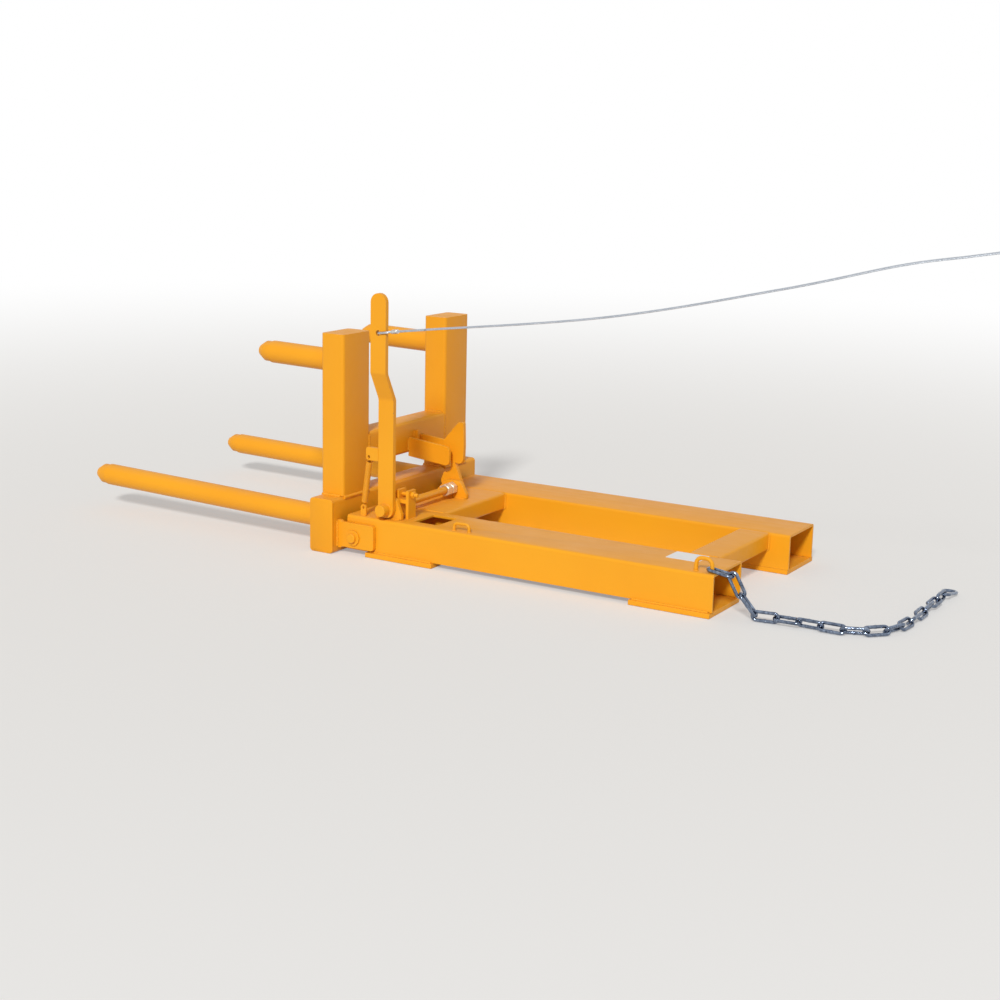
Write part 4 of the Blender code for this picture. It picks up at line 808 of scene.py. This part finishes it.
# Painted steel
def softened(node, body, material, width):
    """The node's own shape as one clean mesh with its cut edges broken, in its place."""
    work = bmesh.new()
    work.from_mesh(frame["nodes"][node].data)
    bmesh.ops.remove_doubles(work, verts=work.verts, dist=0.00002)
    bmesh.ops.dissolve_limit(work, angle_limit=math.radians(0.6), verts=work.verts, edges=work.edges)
    piece = mesh_piece(node + "_painted", work, EDGE_ANGLE)
    if width:
        bevel = piece.modifiers.new("broken_edges", "BEVEL")
        bevel.width = width
        bevel.segments = 2
        bevel.limit_method = "ANGLE"
        bevel.angle_limit = math.radians(EDGE_ANGLE)
        bevel.miter_outer = "MITER_ARC"
        bevel.harden_normals = True
    finish_piece(piece, body, material, "orange_paint", node)


def paint_steel(material):
    for body in ("frame", "holder", "lever"):
        for node, obj in sorted(frame["nodes"].items()):
            width = next((width for kind, width in EDGE_WIDTHS.items() if node.startswith(kind)), None)
            if obj["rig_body"] == body and width is not None:
                softened(node, body, material, width)


# Weld beads
def line_between(a, b):
    a, b = Vector(a), Vector(b)
    count = max(1, round((b - a).length / 0.01))
    return [a + (b - a) * k / count for k in range(count + 1)]


def bead(a, b, radius):
    """A straight bead, as curve_of takes its lines."""
    return line_between(a, b), radius, False


def round_bead(centre, reach, u, v, radius, count=28):
    """A bead round a centre, in the plane of u and v."""
    ring = [Vector(centre) + (u * math.cos(a) + v * math.sin(a)) * reach
            for a in (2 * math.pi * k / count for k in range(count))]
    return ring, radius, True


def frame_welds():
    end, corner = 0.006, 0.004
    lines = []
    for side, sign in (("left", -1), ("right", 1)):
        low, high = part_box("fork_pocket_" + side)
        outer, inner = (low.y, high.y) if sign < 0 else (high.y, low.y)
        for place in ("front", "rear"):
            low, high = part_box(f"strap_{place}_{side}")
            lines.append(bead((low.x + end, outer, high.z), (high.x - 0.008, outer, high.z), STRAP_BEAD))
            low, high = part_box("cross_beam_" + place)
            y = inner - sign * 0.0006
            corners = [(low.x, y, high.z - corner), (low.x, y, low.z + corner), (low.x + corner, y, low.z),
                       (high.x - corner, y, low.z), (high.x, y, low.z + corner), (high.x, y, high.z - corner)]
            loop = [point for a, b in zip(corners, corners[1:]) for point in line_between(a, b)[:-1]]
            lines.append((loop + [Vector(corners[-1])], BEAM_BEAD, False))
            seam = high.z - 0.0012
            lines.append(bead((low.x + end, inner, seam), (high.x - end, inner, seam), SEAM_BEAD))
    for node, radius, inset in PLATE_BEADS:
        low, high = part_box(node)
        for y in (low.y, high.y):
            lines.append(bead((low.x + inset, y, low.z), (high.x - inset, y, low.z), radius))
    low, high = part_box("lever_stop_bracket")
    for x in (low.x, high.x):
        lines.append(bead((x, low.y + 0.002, low.z), (x, high.y - 0.002, low.z), BRACKET_BEAD))
    for node, rod in (("rope_guide", 0.0042), ("chain_staple", 0.0052)):
        low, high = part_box(node)
        for x in (low.x + rod, high.x - rod):
            lines.append(round_bead((x, (low.y + high.y) / 2, low.z), rod, X_AXIS, Y_AXIS, STAPLE_BEAD))
    return lines


def holder_welds():
    foot_inset, foot_drop, foot_end = 0.0030, 0.0028, 0.005
    beam_inset, beam_proud, beam_end = 0.0040, 0.0024, 0.006
    side_end = 0.008
    lines = []
    beam_low, beam_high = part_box("upper_cross_beam")
    for side, sign in (("left", -1), ("right", 1)):
        low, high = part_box("upright_" + side)
        z = low.z - foot_drop
        for x in (high.x - foot_inset, low.x + foot_inset):
            lines.append(bead((x, low.y + foot_end, z), (x, high.y - foot_end, z), FOOT_BEAD))
        for y in (low.y, high.y):
            lines.append(bead((low.x + side_end, y, low.z), (high.x - side_end, y, low.z), UPRIGHT_BEAD))
        inner = high.y if sign < 0 else low.y
        y = inner + sign * beam_proud
        for x in (beam_low.x + beam_inset, beam_high.x - beam_inset):
            lines.append(bead((x, y, beam_low.z + beam_end), (x, y, beam_high.z - beam_end), UPPER_BEAM_BEAD))
        for z in (beam_low.z, beam_high.z):
            start, end = (beam_low.x + side_end, inner, z), (beam_high.x - side_end, inner, z)
            lines.append(bead(start, end, UPRIGHT_BEAD))
        low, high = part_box("hinge_ear_" + side)
        for y in (low.y, high.y):
            radius = EAR_BEAD_OUTSIDE if abs(y) > abs((low.y + high.y) / 2) else EAR_BEAD_INSIDE
            lines.append(bead((low.x, y, low.z + 0.003), (low.x, y, high.z - 0.003), radius))
        for level in ("lower", "upper"):
            low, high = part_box(f"drum_bar_{level}_{side}")
            reach = (high.y - low.y) / 2
            centre = (high.x, (low.y + high.y) / 2, low.z + reach)
            lines.append(round_bead(centre, reach, Y_AXIS, Z_AXIS, BAR_BEAD, 48))
        low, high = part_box("tongue_plate_" + side)
        for y in (low.y, high.y):
            lines.append(bead((low.x, y, beam_low.z + side_end), (low.x, y, high.z - 0.003), TONGUE_BEAD))
    low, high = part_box("tongue_rib")
    for y in (low.y, high.y):
        lines.append(bead((low.x, y, low.z + 0.002), (low.x, y, high.z - 0.002), RIB_BEAD))
    return lines


def lever_welds():
    lines = []
    low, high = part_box("spring_plate")
    for y in (low.y, high.y):
        lines.append(bead((high.x, y, low.z + 0.002), (high.x, y, high.z - 0.002), SPRING_PLATE_BEAD))
    shaft_low, shaft_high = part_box("lever_shaft")
    x, z = (shaft_low.x + shaft_high.x) / 2, (shaft_low.z + shaft_high.z) / 2
    lines.append(round_bead((x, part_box("latch_hook")[1].y, z), 0.0102, X_AXIS, Z_AXIS, HOOK_BEAD))
    lines.append(round_bead((x, low.y, z), 0.0152, X_AXIS, Z_AXIS, LEVER_BEAD, 36))
    return lines


def make_welds(material):
    tree = bead_tree()
    for body, lines in (("frame", frame_welds()), ("holder", holder_welds()), ("lever", lever_welds())):
        ripple, swell = BEAD_RIPPLES[body]
        beads = grown(curve_of(body + "_weld_beads", lines), tree,
                      {"Ripple": ripple, "Swell": swell, "Material": material})
        smooth_edges(beads.data, 70)
        finish_piece(beads, body, material, "orange_paint")


# Spring, nuts and label
def spring_hook(end, eye, outward, thickness):
    """From the coil's last turn along one side of a plate, through its eye and back on the other side."""
    wire = SPRING_WIRE_RADIUS
    side = Y_AXIS * (thickness / 2 + 1.15 * wire)
    first = end + outward.cross(Y_AXIS).normalized() * (SPRING_RADIUS - wire)
    rim = eye - outward * HOOK_RIM
    return smooth_route([
        first,
        first * 0.6 + end * 0.4 + outward * wire,
        end + side * 0.8 + outward * 2 * wire,
        eye + side - outward * HOOK_SHOULDER,
        rim + side,
        rim + side * 0.9 + outward * HOOK_CORNER,
        rim - side * 0.9 + outward * HOOK_CORNER,
        rim - side,
        rim - side - outward * HOOK_TIP,
    ], HOOK_STEP)


def make_spring(material):
    """Coil and both hooks, the hooks bent round the eyes of the spring anchor and of the lever's spring plate.
    """
    plate_low, plate_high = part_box("spring_plate")
    high_eye = Vector((plate_low.x + EYE_INSET, (plate_low.y + plate_high.y) / 2, plate_low.z + EYE_INSET))
    anchor_low, anchor_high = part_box("spring_anchor")
    low_eye = Vector(((anchor_low.x + anchor_high.x) / 2, high_eye.y, SPRING_LOW_EYE_Z))
    along = (high_eye - low_eye).normalized()
    start = (low_eye + high_eye) / 2 - along * SPRING_LENGTH / 2
    coil = grown(put("lever_spring_coil", bpy.data.meshes.new("lever_spring_coil")), coil_tree(),
                 {"Material": material})
    coil.data.transform(Matrix.Translation(start) @ along.to_track_quat("Z", "Y").to_matrix().to_4x4())
    work = bmesh.new()
    work.from_mesh(coil.data)
    for end, eye, outward, thickness in ((start, low_eye, -along, ANCHOR_THICKNESS),
                                         (start + along * SPRING_LENGTH, high_eye, along, PLATE_THICKNESS)):
        tube_faces(work, spring_hook(end, eye, outward, thickness), SPRING_WIRE_RADIUS, 8)
    work.to_mesh(coil.data)
    work.free()
    smooth_edges(coil.data, 60)
    cover(coil, material)
    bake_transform(coil)
    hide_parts("lever_spring")


def hexagon_radius(flats, angle):
    """How far a hexagon reaches at an angle."""
    part = math.fmod(angle + 4 * math.pi, math.pi / 3) - math.pi / 6
    return flats / 2 / math.cos(part)


def chamfered_nut(node, material):
    """Hexagon nut along Y with turned chamfers and a broken bore, in the place of a plain one."""
    low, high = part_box(node)
    centre = (low + high) / 2
    flats = min(high.x - low.x, high.z - low.z)
    height = high.y - low.y
    slope = math.tan(NUT_CHAMFER)
    face = flats / 2 * NUT_FACE
    chamfer = (flats / math.sqrt(3) - face) * slope
    # From the near face, over the six sides and back through the bore. None follows the hexagon
    levels = [(0.0, NUT_BORE + NUT_LIP), (0.0, face), (chamfer * 0.35, None), (chamfer * 0.7, None),
              (chamfer, None), (height - chamfer, None), (height - chamfer * 0.7, None),
              (height - chamfer * 0.35, None), (height, face), (height, NUT_BORE + NUT_LIP),
              (height - NUT_LIP, NUT_BORE), (NUT_LIP, NUT_BORE)]
    work = bmesh.new()
    rings = []
    for depth, radius in levels:
        ring = []
        for k in range(NUT_COLUMNS):
            angle = 2 * math.pi * k / NUT_COLUMNS
            if radius is None:
                cone = face + min(depth, height - depth) / slope
                wide = min(hexagon_radius(flats, angle + NUT_TURN), cone)
            else:
                wide = radius
            ring.append(work.verts.new((centre.x + wide * math.cos(angle), low.y + depth,
                                        centre.z + wide * math.sin(angle))))
        rings.append(ring)
    join_rings(work, zip(rings, rings[1:] + rings[:1]))
    bmesh.ops.recalc_face_normals(work, faces=work.faces)
    finish_piece(mesh_piece(node + "_bright", work, 18), "lever", material, "zinc", node)


def make_label(material):
    """Film label on the left pocket's roof, left bare."""
    (x_from, x_to), (y_from, y_to), corner = LABEL_X, LABEL_Y, LABEL_CORNER
    outline = []
    for x, y, start in ((x_to - corner, y_to - corner, 0), (x_from + corner, y_to - corner, 90),
                        (x_from + corner, y_from + corner, 180), (x_to - corner, y_from + corner, 270)):
        for k in range(5):
            a = math.radians(start + 22.5 * k)
            outline.append(Vector((x + corner * math.cos(a), y + corner * math.sin(a), POCKET_TOP)) + DATUM)
    work = bmesh.new()
    bottom = [work.verts.new(point) for point in outline]
    top = [work.verts.new(point + Z_AXIS * LABEL_THICK) for point in outline]
    join_rings(work, [(bottom, top)])
    work.faces.new(top)
    work.faces.new(list(reversed(bottom)))
    bmesh.ops.recalc_face_normals(work, faces=work.faces)
    finish_piece(mesh_piece("bare_label", work), "frame", material, "orange_paint")


# Floor, sky and key light
def make_floor():
    """Pale floor that fades into the white behind it."""
    work = bmesh.new()
    bmesh.ops.create_grid(work, x_segments=1, y_segments=1, size=FLOOR_REACH)
    floor = mesh_piece("pale_floor", work)
    floor.location.z = -FLOOR_DROP
    material, tree, shader, at = new_finish("pale_floor")
    shader.inputs["Base Color"].default_value = FLOOR_PALE
    shader.inputs["Roughness"].default_value = 0.9
    shader.inputs["Specular IOR Level"].default_value = 0.1
    distance = add(tree, "ShaderNodeVectorMath", {0: at}, operation="LENGTH").outputs["Value"]
    far = between(tree, distance, FADE_NEAR, FADE_FAR, FADE_LEAST, 1.0, "SMOOTHSTEP")
    path = add(tree, "ShaderNodeLightPath")
    seen = calc(tree, "MAXIMUM", path.outputs["Is Camera Ray"], path.outputs["Is Glossy Ray"])
    seen = calc(tree, "MAXIMUM", seen, path.outputs["Is Transmission Ray"])
    white = add(tree, "ShaderNodeEmission", {"Color": WHITE, "Strength": 1.0}).outputs[0]
    blend = add(tree, "ShaderNodeMixShader",
                {0: calc(tree, "MULTIPLY", far, seen), 1: shader.outputs[0], 2: white}).outputs[0]
    tree.links.new(blend, tree.nodes["Material Output"].inputs["Surface"])
    floor.data.materials.append(material)


def make_sky():
    """An even sky, seen as white."""
    world = bpy.data.worlds.new("studio")
    bpy.context.scene.world = world
    world.use_nodes = True
    tree = world.node_tree
    tree.nodes.clear()
    path = add(tree, "ShaderNodeLightPath")
    seen = calc(tree, "MAXIMUM", path.outputs["Is Camera Ray"], path.outputs["Is Transmission Ray"])
    seen = calc(tree, "MAXIMUM", seen, calc(tree, "MULTIPLY", path.outputs["Is Glossy Ray"], SKY_IN_GLOSS))
    even = add(tree, "ShaderNodeBackground", {"Color": SKY_COLOUR, "Strength": SKY_STRENGTH}).outputs[0]
    white = add(tree, "ShaderNodeBackground", {"Color": WHITE, "Strength": 1.0}).outputs[0]
    mix = add(tree, "ShaderNodeMixShader", {0: seen, 1: even, 2: white}).outputs[0]
    add(tree, "ShaderNodeOutputWorld", {"Surface": mix})


def make_key_light():
    key = bpy.data.lights.new("key", "SUN")
    key.energy = KEY_STRENGTH
    key.angle = KEY_ANGLE
    key.color = KEY_COLOUR
    lamp = bpy.data.objects.new("key", key)
    bpy.context.scene.collection.objects.link(lamp)
    lamp.rotation_euler = KEY_FROM.to_track_quat("Z", "Y").to_euler()


def main():
    make_camera()
    wire = plated_finish("wire_rope_steel", WIRE_BRIGHT, WIRE_DULL, 0.36, 500.0)
    plated = plated_finish("zinc_plate", ZINC, ZINC_DULL, 0.24)
    nut_plate = plated_finish("yellowed_zinc_plate", NUT_BRIGHT, NUT_DULL, 0.30, 300.0, 0.55)
    make_rope(wire, plated)
    paint = orange_paint_finish()
    # The chain's colours are a painted dark reflection, not the zinc's own
    chain_steel = plated_finish("chain_zinc_painted_reflection", CHAIN_REFLECTION_LIGHT, CHAIN_REFLECTION_DARK, 0.13, 150.0)
    rubbed_steel = plated_finish("rubbed_steel", PIN_BRIGHT, PIN_DULL, 0.38, 200.0)
    make_chain(chain_steel)
    paint_steel(paint)
    cover(frame["nodes"]["chain_hook"], chain_steel)
    cover(frame["nodes"]["latch_pin"], rubbed_steel)
    for node in ("shaft_nut_inner", "shaft_nut_outer"):
        chamfered_nut(node, nut_plate)
    make_spring(paint)
    make_welds(paint)
    make_label(label_finish())
    make_floor()
    make_sky()
    make_key_light()


main()
bpy.context.scene.view_settings.view_transform = "Standard"
